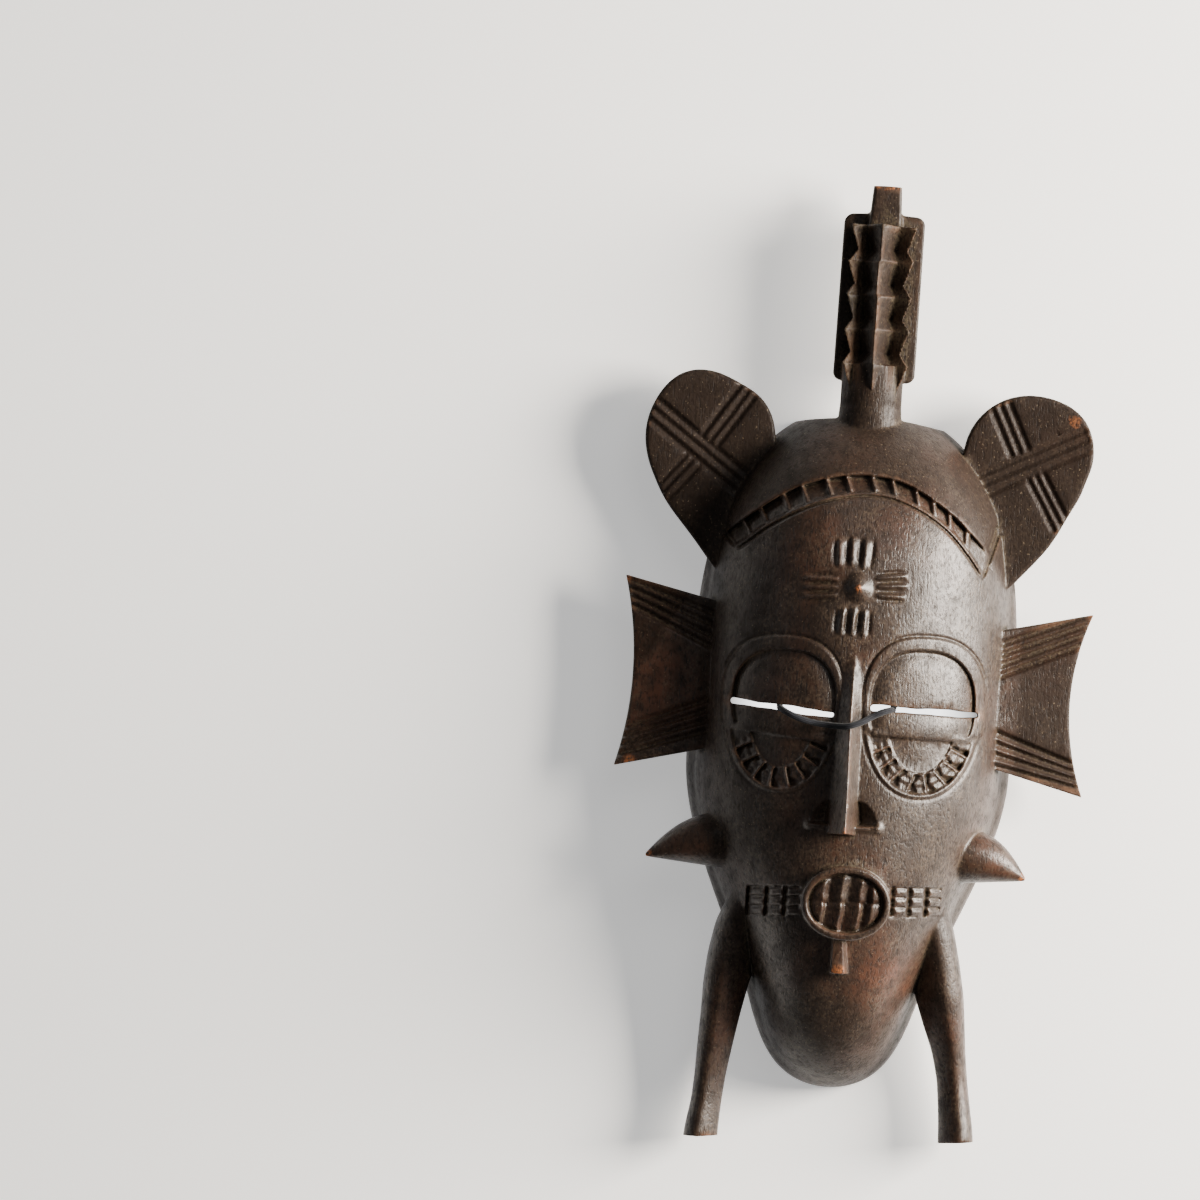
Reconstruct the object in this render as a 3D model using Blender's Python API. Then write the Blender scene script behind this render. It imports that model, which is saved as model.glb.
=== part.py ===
"""A Senufo face mask (kpelie) carved from one block of wood, lying on the rim of its hollow back,
with the hanging cord that is threaded through its eye slits and knotted behind the face.

Metres. X runs to the right as the face is looked at, Y to the crest, Z out of the face.
The origin is the centre of the mask's outline, on the surface that the rim lies on.
"""

import math

import bmesh
import bpy
from mathutils import Matrix, Vector

# The head: an egg-shaped bowl with its mouth on Z = 0.
HEAD_TOP = 0.0955
CROWN_CUT = 0.0902
CROWN_CUT_FALL = 5.8
CHIN = -0.1550
HALF_WIDTH = 0.0593
WIDEST_Y = -0.0110
CROWN_POWER = 2.2
CROWN_SQUARE = 2.17
TAPER_START = -0.0360
TAPER_END = -0.1510
CHIN_HALF_WIDTH = 0.0260
CAP_START = -0.1190
CAP_POWER = 3.1
DEPTH = 0.0620
BROW_Y = 0.0090
CHEEK_Y = -0.0210
PROFILE_POWER = 2.6
FRONT_POWER = 2.2
SIDE_POWER = 2.5
WALL = 0.0095
CROWN_WALL = 1.6

# The crest over the head.
CREST_TOP = 0.1754
PEG_HALF_WIDTH = 0.0053
PEG_BACK = 0.0170
PEG_FRONT = 0.0270
PLATE_BOTTOM = 0.1040
PLATE_TOP = 0.1655
PLATE_HALF_WIDTH = 0.0148
PLATE_BACK = 0.0140
PLATE_FRONT = 0.0215
NECK_HALF_WIDTH = 0.0112
NECK_HALF_DEPTH = 0.0100
NECK_BASE_Y = 0.0800
NECK_FLARE = 1.12
CREST_MIDDLE_Z = 0.0235
THORN_ROWS = 5
THORN_PITCH = 0.0125
THORN_FIRST_Y = 0.1105
THORN_SIDE_X = 0.0124
THORN_SIDE_Z = 0.0290
THORN_FRONT_Z = 0.0400

# The round ears, the side wings, the cheek thorns and the legs.
EAR_CENTRES = {-1: (0.0583, 0.0803), 1: (0.0582, 0.0790)}
EAR_RADIUS = 0.0237
EAR_ROOT_CENTRE = (0.0425, 0.0430)
EAR_ROOT_RADIUS = 0.0150
EAR_BACK = 0.0150
EAR_THICKNESS = 0.0070
WING_REACH = 0.0859
WING_THICKNESS = 0.0060
WING_ROOT_X = 0.0480
WING_Z = 0.0260
WING_SWEEP = math.radians(9)
SPIKE_RADIUS = 0.0098
LEG_DEPTH_SHARE = 1.05

# The face.
SOCKET_DEPTH = 0.0022
SLIT_HEIGHT = 0.0030
EYES = (
    # side, centre x, centre y, half width, height of the brow over the centre, slit y
    (-1, 0.0256, -0.0156, 0.0208, 0.0229, -0.0169),
    (1, 0.0246, -0.0140, 0.0215, 0.0237, -0.0150),
)
BROW_WIDTHS = (0.0030, 0.0046)
BROW_RISE = 0.0010
LID_BOTTOM = 0.0104
TEAR_BLOCKS = 9
NOSE_RIDGE_X = -0.0011
NOSE_TOP = 0.0040
NOSE_TIP = -0.0613
NOSE_TIP_Z = 0.0765
NOSE_HALF_WIDTH = 0.0058
MOUTH_CENTRE = (0.0015, -0.0868)
MOUTH_HALF = (0.0161, 0.0134)
MOUTH_OPENING_HALF = (0.0137, 0.0102)
MOUTH_RISE = 0.0060
TOOTH_PITCH = 0.0069
BAR_CENTRE = (0.0008, -0.1064)
BAR_SIZE = (0.0046, 0.0120, 0.0090)
BOSS_CENTRE = (-0.0015, 0.0284)
HAIRLINE_TOP = 0.0620
HAIRLINE_REACH = 0.0425
HAIRLINE_LEFT = (0.0700, 0.0920)
HAIRLINE_RIGHT = (0.0550, 0.0750)

# The hanging cord.
CORD_DIAMETER = 0.0023
KNOT_RADIUS = 0.0030

# Materials: colour, roughness and metallic value.
WOOD = ("carved_wood", (0.070, 0.042, 0.028, 1), 0.42, 0.0)
CORD = ("cotton_cord", (0.012, 0.013, 0.018, 1), 0.85, 0.0)


def clear_scene():
    for old in list(bpy.data.objects):
        bpy.data.objects.remove(old, do_unlink=True)


def material(name, colour, roughness, metallic):
    made = bpy.data.materials.new(name)
    made.use_nodes = True
    shader = made.node_tree.nodes["Principled BSDF"]
    shader.inputs["Base Color"].default_value = colour
    shader.inputs["Roughness"].default_value = roughness
    shader.inputs["Metallic"].default_value = metallic
    return made


def add_object(name, mesh):
    made = bpy.data.objects.new(name, mesh)
    bpy.context.scene.collection.objects.link(made)
    return made


def join_meshes(name, builders):
    """One object from several closed bmesh solids that don't touch each other."""
    whole = bmesh.new()
    for solid in builders:
        piece = bpy.data.meshes.new("piece")
        bmesh.ops.recalc_face_normals(solid, faces=solid.faces)
        bmesh.ops.connect_verts_nonplanar(solid, angle_limit=0.0005, faces=solid.faces)
        solid.to_mesh(piece)
        solid.free()
        whole.from_mesh(piece)
        bpy.data.meshes.remove(piece)
    mesh = bpy.data.meshes.new(name)
    whole.to_mesh(mesh)
    whole.free()
    return add_object(name, mesh)


def apply_tool(target, tool, operation):
    """Adds a Boolean to the target, and keeps its tool as a wire guide out of the render."""
    tool.hide_render = True
    tool.display_type = "WIRE"
    modifier = target.modifiers.new(tool.name, "BOOLEAN")
    modifier.operation = operation
    modifier.solver = "EXACT"
    modifier.object = tool


def smooth_step(t):
    t = min(1.0, max(0.0, t))
    return t * t * (3 - 2 * t)


def half_width(y, inset=0.0):
    """Half the head's width at height y, or the hollow's with the wall as the inset."""
    top, chin = HEAD_TOP - inset * CROWN_WALL, CHIN + inset
    if y >= top or y <= chin:
        return 0.0
    if y > WIDEST_Y:
        share = (y - WIDEST_Y) / (top - WIDEST_Y)
        return (HALF_WIDTH - inset) * (1 - share**CROWN_POWER) ** (1 / CROWN_SQUARE)
    taper = smooth_step((TAPER_START - y) / (TAPER_START - TAPER_END))
    side = HALF_WIDTH + (CHIN_HALF_WIDTH - HALF_WIDTH) * taper - inset
    cap = max(0.0, (CAP_START - y) / (CAP_START - chin))
    return side * math.sqrt(max(0.0, 1 - cap**CAP_POWER))


def depth(y, inset=0.0):
    """How far the face stands out along its middle at height y."""
    top, chin = HEAD_TOP - inset * CROWN_WALL, CHIN + inset
    if y >= top or y <= chin:
        return 0.0
    if y > BROW_Y:
        share = (y - BROW_Y) / (top - BROW_Y)
    elif y < CHEEK_Y:
        share = (CHEEK_Y - y) / (CHEEK_Y - chin)
    else:
        share = 0.0
    return (DEPTH - inset) * (1 - share**PROFILE_POWER) ** (1 / FRONT_POWER)


def face_height(x, y, inset=0.0):
    """Z of the face's surface, before any carving."""
    width = half_width(y, inset)
    if abs(x) >= width:
        return 0.0
    across = (1 - (abs(x) / width) ** SIDE_POWER) ** (1 / FRONT_POWER)
    return depth(y, inset) * across


def face_normal(x, y):
    step = 0.0005
    slope_x = (face_height(x + step, y) - face_height(x - step, y)) / (2 * step)
    slope_y = (face_height(x, y + step) - face_height(x, y - step)) / (2 * step)
    return Vector((-slope_x, -slope_y, 1)).normalized()


def face_point(x, y, lift=0.0):
    return Vector((x, y, face_height(x, y))) + face_normal(x, y) * lift


def bowl(inset, floor, stations, arcs):
    """A solid bowl shape: ribs across the head from the crown to the chin, closed flat below.

    The head's own crown is cut off nearly flat, where the crest's neck stands on it."""
    top, chin = HEAD_TOP - inset * CROWN_WALL, CHIN + inset
    middle, half = (top + chin) / 2, (top - chin) / 2
    solid = bmesh.new()
    ribs = []
    for station in range(1, stations):
        y = middle + half * math.cos(math.pi * station / stations)
        width, height = half_width(y, inset), depth(y, inset)
        rib = []
        for arc in range(arcs + 1):
            turn = math.pi * arc / arcs
            across = math.copysign(abs(math.cos(turn)) ** (2 / SIDE_POWER), -math.cos(turn))
            up = abs(math.sin(turn)) ** (2 / FRONT_POWER) if 0 < arc < arcs else 0.0
            rib.append(solid.verts.new((width * across, y, height * up)))
        ribs.append(rib)
    crown, tip = (solid.verts.new((0, y, 0)) for y in (top, chin))
    for before, after in zip(ribs, ribs[1:]):
        for arc in range(arcs):
            solid.faces.new((before[arc], before[arc + 1], after[arc + 1], after[arc]))
    for arc in range(arcs):
        solid.faces.new((crown, ribs[0][arc + 1], ribs[0][arc]))
        solid.faces.new((tip, ribs[-1][arc], ribs[-1][arc + 1]))
    if not inset:
        for vert in solid.verts:
            vert.co.y = min(vert.co.y, CROWN_CUT - CROWN_CUT_FALL * vert.co.x**2)
    rim = [crown] + [rib[0] for rib in ribs] + [tip] + [rib[-1] for rib in reversed(ribs)]
    back = solid.faces.new(rim)
    if floor < 0:
        made = bmesh.ops.extrude_face_region(solid, geom=[back])
        moved = [v for v in made["geom"] if isinstance(v, bmesh.types.BMVert)]
        bmesh.ops.translate(solid, verts=moved, vec=(0, 0, floor))
        bmesh.ops.delete(solid, geom=[back], context="FACES_ONLY")
    return solid


def patch(outline, low, high, rings=3):
    """A closed solid over a closed outline of (x, y) points round its middle.

    low and high give Z at a point, from x, y and the share of the way out to the outline."""
    count = len(outline)
    centre_x = sum(p[0] for p in outline) / count
    centre_y = sum(p[1] for p in outline) / count
    solid = bmesh.new()

    def layer(height):
        hub = solid.verts.new((centre_x, centre_y, height(centre_x, centre_y, 0.0)))
        loops = []
        for ring in range(1, rings + 1):
            share = ring / rings
            loop = []
            for px, py in outline:
                x, y = centre_x + (px - centre_x) * share, centre_y + (py - centre_y) * share
                loop.append(solid.verts.new((x, y, height(x, y, share))))
            loops.append(loop)
        for i in range(count):
            j = (i + 1) % count
            solid.faces.new((hub, loops[0][i], loops[0][j]))
            for inner, outer in zip(loops, loops[1:]):
                solid.faces.new((inner[i], outer[i], outer[j], inner[j]))
        return loops[-1]

    top, bottom = layer(high), layer(low)
    for i in range(count):
        j = (i + 1) % count
        solid.faces.new((top[i], bottom[i], bottom[j], top[j]))
    return solid


def ellipse(centre, half, count, start=0.0, end=2 * math.pi, closed=True):
    """Points round an ellipse, or along a stretch of one when it isn't closed."""
    steps = count if closed else count - 1
    turns = [start + (end - start) * i / steps for i in range(count)]
    return [(centre[0] + half[0] * math.cos(t), centre[1] + half[1] * math.sin(t)) for t in turns]


def ribbon(path, widths, rise, sink):
    """A raised strip along (x, y) points on the face, with a width at each of them."""
    solid = bmesh.new()
    sections = []
    for i, (x, y) in enumerate(path):
        before, after = path[max(i - 1, 0)], path[min(i + 1, len(path) - 1)]
        along = Vector((after[0] - before[0], after[1] - before[1])).normalized()
        side = Vector((along.y, -along.x)) * widths[i] / 2
        corners = []
        for reach, lift in ((-1, -sink), (1, -sink), (0.8, rise), (-0.8, rise)):
            corners.append(solid.verts.new(face_point(x + side.x * reach, y + side.y * reach, lift)))
        sections.append(corners)
    for first, second in zip(sections, sections[1:]):
        for i in range(4):
            j = (i + 1) % 4
            solid.faces.new((first[i], first[j], second[j], second[i]))
    solid.faces.new(sections[0])
    solid.faces.new(sections[-1])
    return solid


def seat(x, y, turn=0.0, lift=0.0):
    """A frame on the face at (x, y): Z out of the wood, X turned from the mask's own X."""
    normal = face_normal(x, y)
    across = Vector((math.cos(turn), math.sin(turn), 0))
    across = (across - normal * across.dot(normal)).normalized()
    along = normal.cross(across)
    turned = Matrix((across, along, normal)).transposed().to_4x4()
    return Matrix.Translation(face_point(x, y, lift)) @ turned


def block(frame, size, taper=1.0):
    """A box centred on a frame, its far end narrowed to a share of its foot."""
    solid = bmesh.new()
    bmesh.ops.create_cube(solid, size=1)
    for vert in solid.verts:
        narrow = taper if vert.co.z > 0 else 1.0
        vert.co = (vert.co.x * size[0] * narrow, vert.co.y * size[1] * narrow, vert.co.z * size[2])
    bmesh.ops.transform(solid, matrix=frame, verts=solid.verts)
    return solid


def ridge(frame, length, width, rise, sink):
    """A grain-shaped ridge: a long six-sided foot under a shorter crest line."""
    solid = bmesh.new()
    foot = ((-1, 0), (-0.7, -1), (0.7, -1), (1, 0), (0.7, 1), (-0.7, 1))
    low = [solid.verts.new((a * length / 2, b * width / 2, -sink)) for a, b in foot]
    ends = [solid.verts.new((a * length / 2, 0, rise)) for a in (-0.72, 0.72)]
    solid.faces.new(low)
    first, last = ends
    for i, tops in enumerate(((first,), (first, last), (last,), (last,), (last, first), (first,))):
        j = (i + 1) % 6
        solid.faces.new((low[i], low[j], *reversed(tops)))
    bmesh.ops.transform(solid, matrix=frame, verts=solid.verts)
    return solid


def rings_solid(rings):
    """A closed solid through rings of equal count, with flat ends."""
    solid = bmesh.new()
    loops = [[solid.verts.new(p) for p in ring] for ring in rings]
    count = len(loops[0])
    for first, second in zip(loops, loops[1:]):
        for i in range(count):
            j = (i + 1) % count
            solid.faces.new((first[i], first[j], second[j], second[i]))
    solid.faces.new(loops[0])
    solid.faces.new(loops[-1])
    return solid


def prism(outline, back, front):
    """A slab with an (x, y) outline between two heights."""
    return rings_solid([[(x, y, z) for x, y in outline] for z in (back, front)])


# The crest: a neck, a backing plate with a peg on it, and five rows of thorns round its front.


def crest_neck():
    rings = []
    for y, spread in ((NECK_BASE_Y, NECK_FLARE), (0.0890, NECK_FLARE), (0.0960, 1.0), (0.1120, 1.0)):
        half = (NECK_HALF_WIDTH * spread, NECK_HALF_DEPTH * spread)
        ring = ellipse((0, CREST_MIDDLE_Z), half, 20)
        rings.append([(x - 0.0007, y, z) for x, z in ring])
    return rings_solid(rings)


def crest_plate():
    """The plate's corners are rounded, and its sides lean out a little towards the top."""
    corner = 0.0030
    low, high = PLATE_HALF_WIDTH, PLATE_HALF_WIDTH - 0.0003
    outline = []
    for x, y, turn in (
        (low - corner, PLATE_BOTTOM + corner, -90),
        (high - corner, PLATE_TOP - corner, 0),
        (corner - high, PLATE_TOP - corner, 90),
        (corner - low, PLATE_BOTTOM + corner, 180),
    ):
        start = math.radians(turn)
        outline += ellipse((x, y), (corner, corner), 4, start, start + math.pi / 2, False)
    return prism(outline, PLATE_BACK, PLATE_FRONT)


def crest_peg():
    rings = []
    for y, spread in ((PLATE_TOP - 0.0040, 1.12), (PLATE_TOP, 1.08), (CREST_TOP - 0.0012, 1.0), (CREST_TOP, 0.86)):
        half = PEG_HALF_WIDTH * spread
        middle, reach = (PEG_BACK + PEG_FRONT) / 2, (PEG_FRONT - PEG_BACK) / 2 * spread
        ring = ellipse((0.0004, middle), (half * 1.08, reach * 1.08), 12)
        rings.append([(min(max(x, -half), half), y, z) for x, z in ring])
    return rings_solid(rings)


def crest_thorns():
    """Rows of thorns whose points stand out of a core, and meet each other in valleys."""
    valley = (
        (-0.0100, 0.0200),
        (-0.0098, 0.0245),
        (-0.0064, 0.0285),
        (-0.0012, 0.0318),
        (0.0043, 0.0285),
        (0.0092, 0.0245),
        (0.0094, 0.0200),
    )
    pointed = (
        (-THORN_SIDE_X, 0.0200),
        (-THORN_SIDE_X, THORN_SIDE_Z),
        (-0.0066, 0.0312),
        (-0.0012, THORN_FRONT_Z),
        (0.0046, 0.0312),
        (THORN_SIDE_X - 0.0006, THORN_SIDE_Z),
        (THORN_SIDE_X - 0.0006, 0.0200),
    )
    rings = []
    for half_row in range(-1, 2 * THORN_ROWS):
        y = THORN_FIRST_Y + half_row * THORN_PITCH / 2
        profile = valley if half_row % 2 else pointed
        lean = 0.0004 * half_row / THORN_ROWS
        rings.append([(x + lean, y, z) for x, z in profile])
    return rings_solid(rings)


# What stands out of the head's sides: ears, wings, cheek thorns and legs.


def ear(side):
    """A round paddle: the hull of a large disc and a smaller one that is buried in the head."""
    solid = bmesh.new()
    for centre, radius, count in (
        (EAR_CENTRES[side], EAR_RADIUS, 32),
        (EAR_ROOT_CENTRE, EAR_ROOT_RADIUS, 16),
    ):
        for x, y in ellipse((centre[0] * side, centre[1]), (radius, radius), count):
            for z in (EAR_BACK, EAR_BACK + EAR_THICKNESS):
                solid.verts.new((x, y, z))
    made = bmesh.ops.convex_hull(solid, input=solid.verts)
    bmesh.ops.delete(solid, geom=made["geom_interior"], context="VERTS")
    bmesh.ops.dissolve_limit(solid, angle_limit=0.01, verts=solid.verts, edges=solid.edges)
    return solid


def wing_outline(side):
    """The wing's corners, with its hollow outer edge as one arc."""
    top, bottom = (0.0280, -0.0421) if side < 0 else (0.0228, -0.0427)
    root_top, root_bottom = (0.0195, -0.0325) if side < 0 else (0.0145, -0.0330)
    hollow = 0.0048 if side < 0 else 0.0072
    edge = []
    for i in range(9):
        t = i / 8
        bow = 4 * t * (1 - t)
        edge.append((side * (WING_REACH - hollow * bow), bottom + (top - bottom) * t))
    return [(side * WING_ROOT_X, root_bottom)] + edge + [(side * WING_ROOT_X, root_top)]


def wing_frame(side):
    """The wing's own frame turns it back round its root, so that its outer edge lies lower."""
    root = Matrix.Translation((side * WING_ROOT_X, 0, WING_Z))
    return root @ Matrix.Rotation(side * WING_SWEEP, 4, "Y") @ root.inverted()


def wing(side):
    flat = wing_outline(side)
    solid = prism(flat, WING_Z - WING_THICKNESS / 2, WING_Z + WING_THICKNESS / 2)
    bmesh.ops.transform(solid, matrix=wing_frame(side), verts=solid.verts)
    widest = max(abs(v.co.x) for v in solid.verts)
    for vert in solid.verts:
        vert.co.x *= 1 + (WING_REACH / widest - 1) * smooth_step(abs(vert.co.x) / widest)
    return solid


def cheek_spike(side):
    """A thorn out of the cheek, whose upper side curves down to its point."""
    base = Vector((side * 0.0440, -0.0665, 0.0270))
    tip = Vector((side * (0.0721 if side < 0 else 0.0669), -0.0737, 0.0300))
    axis = (tip - base).normalized()
    up = Vector((0, 1, 0))
    up = (up - axis * up.dot(axis)).normalized()
    over = axis.cross(up)
    rings = []
    for share in (0.0, 0.3, 0.5, 0.7, 0.85, 0.95, 1.0):
        radius = SPIKE_RADIUS * (1 - share**1.7) + 0.0006
        middle = base.lerp(tip, share) + up * 0.0016 * math.sin(math.pi * share)
        ring = []
        for i in range(14):
            turn = 2 * math.pi * i / 14
            ring.append(middle + (up * math.cos(turn) + over * math.sin(turn)) * radius)
        rings.append(ring)
    return rings_solid(rings)


def leg(side):
    """A leg out of the jaw: full at the top, thin at the ankle and wider again at the foot."""
    left = (
        (-0.0850, 0.0300, 0.0100, 0.0240),
        (-0.0960, 0.0345, 0.0102, 0.0225),
        (-0.1080, 0.0377, 0.0092, 0.0205),
        (-0.1190, 0.0395, 0.0083, 0.0190),
        (-0.1290, 0.0406, 0.0073, 0.0175),
        (-0.1410, 0.0419, 0.0065, 0.0160),
        (-0.1530, 0.0430, 0.0057, 0.0145),
        (-0.1620, 0.0437, 0.0056, 0.0140),
        (-0.1690, 0.0446, 0.0060, 0.0140),
        (-0.1754, 0.0451, 0.0063, 0.0140),
    )
    right = (
        (-0.0850, 0.0300, 0.0096, 0.0240),
        (-0.0960, 0.0335, 0.0094, 0.0225),
        (-0.1080, 0.0367, 0.0090, 0.0205),
        (-0.1190, 0.0388, 0.0090, 0.0190),
        (-0.1290, 0.0411, 0.0077, 0.0175),
        (-0.1390, 0.0436, 0.0062, 0.0160),
        (-0.1490, 0.0455, 0.0056, 0.0145),
        (-0.1590, 0.0469, 0.0059, 0.0140),
        (-0.1660, 0.0478, 0.0063, 0.0140),
        (-0.1718, 0.0483, 0.0065, 0.0140),
    )
    rings = []
    for y, x, half, z in left if side < 0 else right:
        ring = ellipse((side * x, z), (half, half * LEG_DEPTH_SHARE), 14)
        rings.append([(px, y, pz) for px, pz in ring])
    return rings_solid(rings)


# Grooves: V-shaped troughs side by side along straight lines, cut into a flat front.


def comb(start, end, pitch, count, z, deep):
    """A cutter with a toothed underside, its teeth deep below z, from start to end."""
    a, b = Vector((*start, z)), Vector((*end, z))
    along = (b - a).normalized()
    side = along.cross(Vector((0, 0, 1)))
    lift = 0.0008
    spread = lift * pitch / 2 / deep
    profile = [(-count * pitch / 2 - spread, lift)]
    for i in range(2 * count - 1):
        across = (i + 1 - count) * pitch / 2
        profile.append((across, -0.0002 if i % 2 else -deep))
    profile.append((count * pitch / 2 + spread, lift))
    rings = []
    for point in (a, b):
        rings.append([point + side * across + Vector((0, 0, height)) for across, height in profile])
    return rings_solid(rings)


def ear_grooves(side):
    """A long band of three grooves, and a band of three that meets it from both sides."""
    front = EAR_BACK + EAR_THICKNESS
    bands = (
        ((0.0390, 0.0650), (0.0830, 0.0897)),
        ((0.0480, 0.1010), (0.0560, 0.0836)),
        ((0.0614, 0.0702), (0.0735, 0.0510)),
    )
    made = []
    for start, end in bands:
        start, end = ((side * p[0], p[1]) for p in (start, end))
        made.append(comb(start, end, 0.0034, 3, front, 0.0013))
    return made


def wing_grooves(side):
    """Four grooves run along the wing's top edge and four along its bottom edge."""
    outline = wing_outline(side)
    root_bottom, tip_bottom, tip_top, root_top = outline[0], outline[1], outline[-2], outline[-1]
    made = []
    for root, tip, inward in ((root_top, tip_top, -1), (root_bottom, tip_bottom, 1)):
        drop = inward * 0.0088
        start = (root[0], root[1] + drop * 1.05)
        end = (tip[0] + side * 0.0040, tip[1] + drop * 0.95)
        made.append(comb(start, end, 0.0036, 4, WING_Z + WING_THICKNESS / 2, 0.0012))
    for solid in made:
        bmesh.ops.transform(solid, matrix=wing_frame(side), verts=solid.verts)
    return made


# The face's carving.


def eye_outline(side, cx, cy, half, height, grow):
    """An upright oval: the brow over the eye, and the row of blocks that hangs below it."""
    middle = side * cx
    upper = ellipse((middle, cy), (half + grow, height + grow), 17, 0, math.pi, False)
    lower = ellipse((middle, cy - LID_BOTTOM), (half + grow, 0.0200 + grow), 17, math.pi, 2 * math.pi, False)
    return upper + lower


def eye_socket(eye):
    outline = eye_outline(*eye[:5], grow=-0.0012)
    floor = lambda x, y, share: face_height(x, y) - SOCKET_DEPTH
    return patch(outline, floor, lambda x, y, share: face_height(x, y) + 0.0080)


def eyelid(eye):
    """The closed lids, fullest at the slit, that end in a straight edge under it."""
    side, cx, cy, half, height, _ = eye
    middle = side * cx
    outline = ellipse((middle, cy), (half - 0.0008, height - 0.0008), 17, 0, math.pi, False)
    for share in (-1, -0.5, 0, 0.5, 1):
        outline.append((middle + share * (half - 0.0008), cy - LID_BOTTOM))

    def lid(x, y, share):
        across = 1 - ((x - middle) / half) ** 2
        fall = (y - cy) / height if y > cy else (cy - y) / (LID_BOTTOM * 2.2)
        return face_height(x, y) - 0.0019 + 0.0042 * max(0.0, across) ** 0.5 * max(0.0, 1 - fall**2)

    return patch(outline, lambda x, y, share: face_height(x, y) - 0.0045, lid, rings=4)


def brow(eye):
    """The raised strip that arches over the eye, widest on top, and runs down its outer side."""
    side, cx, cy, half, height, _ = eye
    arch = ellipse((cx, cy), (half, height), 15, 0, math.radians(154), False)
    path = [(cx + half + 0.0003, cy - 0.0098), (cx + half + 0.0001, cy - 0.0050)] + arch
    thin, thick = BROW_WIDTHS
    widths = [thin, thin] + [thin + (thick - thin) * math.sin(math.pi * i / 14) for i in range(15)]
    widths[-1] = 0.0012
    return ribbon([(side * x, y) for x, y in path], widths, BROW_RISE, 0.0030)


def tear_blocks(eye):
    """Blocks in a hanging half ring under the eye, with open notches between them."""
    side, cx, cy, half, _, _ = eye
    made = []
    for i in range(TEAR_BLOCKS):
        turn = math.pi * (1 + (i + 0.5) / TEAR_BLOCKS)
        x = side * cx + (half - 0.0045) * math.cos(turn)
        y = cy - LID_BOTTOM + 0.0165 * math.sin(turn)
        made.append(block(seat(x, y, turn, -0.0020), (0.0058, 0.0043, 0.0042), 0.82))
    return made


def eye_slit(eye):
    side, cx, _, _, _, slit_y = eye
    low, high = (0.0071, 0.0445) if side < 0 else (0.0060, 0.0452)
    middle = side * (low + high) / 2
    return block(Matrix.Translation((middle, slit_y, 0.0500)), (high - low, SLIT_HEIGHT, 0.0800))


def nose():
    """A long wedge with a sharp ridge, flush with the forehead above and cut off square below."""
    rings = []
    for i in range(8):
        t = i / 7
        y = NOSE_TOP + (NOSE_TIP - NOSE_TOP) * t
        crest = face_height(0, NOSE_TOP) + (NOSE_TIP_Z - face_height(0, NOSE_TOP)) * t**0.9
        foot = face_height(0, y) - 0.0060
        spread = NOSE_HALF_WIDTH * (0.9 + 0.15 * t)
        centre = NOSE_RIDGE_X
        rings.append(
            [
                (centre - spread * 1.15, y, foot),
                (centre + spread, y, foot),
                (centre + 0.0006, y, crest),
                (centre - 0.0006, y, crest),
            ]
        )
    return rings_solid(rings)


def nostril(side):
    """A pointed lobe beside the nose's tip."""
    x = NOSE_RIDGE_X
    corners = ((0.0020, -0.0480), (0.0078, -0.0500), (0.0126, -0.0572), (0.0045, -0.0610), (0.0020, -0.0612))
    solid = bmesh.new()
    low = [solid.verts.new((x + side * px, py, face_height(x + side * px, py) - 0.0040)) for px, py in corners]
    peak_x, peak_y = x + side * 0.0062, -0.0575
    peak = solid.verts.new((peak_x, peak_y, face_height(peak_x, peak_y) + 0.0062))
    solid.faces.new(low)
    for i in range(len(low)):
        solid.faces.new((low[i], low[(i + 1) % len(low)], peak))
    return solid


def mouth_boss():
    """The oval lips, a raised disc whose front is flat."""
    front = face_point(*MOUTH_CENTRE).z + MOUTH_RISE
    outline = ellipse(MOUTH_CENTRE, MOUTH_HALF, 32)
    return patch(outline, lambda x, y, share: face_height(x, y) - 0.0040, lambda x, y, share: front, rings=2)


def mouth_opening():
    front = face_point(*MOUTH_CENTRE).z + MOUTH_RISE
    outline = ellipse(MOUTH_CENTRE, MOUTH_OPENING_HALF, 32)
    return patch(outline, lambda x, y, share: front - 0.0032, lambda x, y, share: front + 0.0050, rings=1)


def teeth():
    """Two rows of upright ridges that meet along the middle of the mouth."""
    front = face_point(*MOUTH_CENTRE).z + MOUTH_RISE
    half_x, half_y = (size - 0.0003 for size in MOUTH_OPENING_HALF)
    made = []
    for i in range(4):
        x = MOUTH_CENTRE[0] + TOOTH_PITCH * (i - 1.5)
        reach = half_y * math.sqrt(1 - (abs(x - MOUTH_CENTRE[0]) / half_x) ** 2) + 0.0006
        for side in (-1, 1):
            length = reach - 0.0002
            frame = Matrix.Translation((x, MOUTH_CENTRE[1] + side * (reach + 0.0002) / 2, front - 0.0032))
            turned = frame @ Matrix.Rotation(math.pi / 2, 4, "Z")
            made.append(ridge(turned, length, TOOTH_PITCH - 0.0003, 0.0030, 0.0015))
    return made


def cheek_marks(side):
    """Three columns of three small steps beside the mouth."""
    columns = (0.0202, 0.0262, 0.0327) if side > 0 else (0.0179, 0.0243, 0.0306)
    middle = -0.0842 if side > 0 else -0.0876
    made = []
    for x in columns:
        for row in (-1, 0, 1):
            made.append(block(seat(side * x, middle + row * 0.0037, 0, 0), (0.0052, 0.0031, 0.0026), 0.75))
    return made


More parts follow.
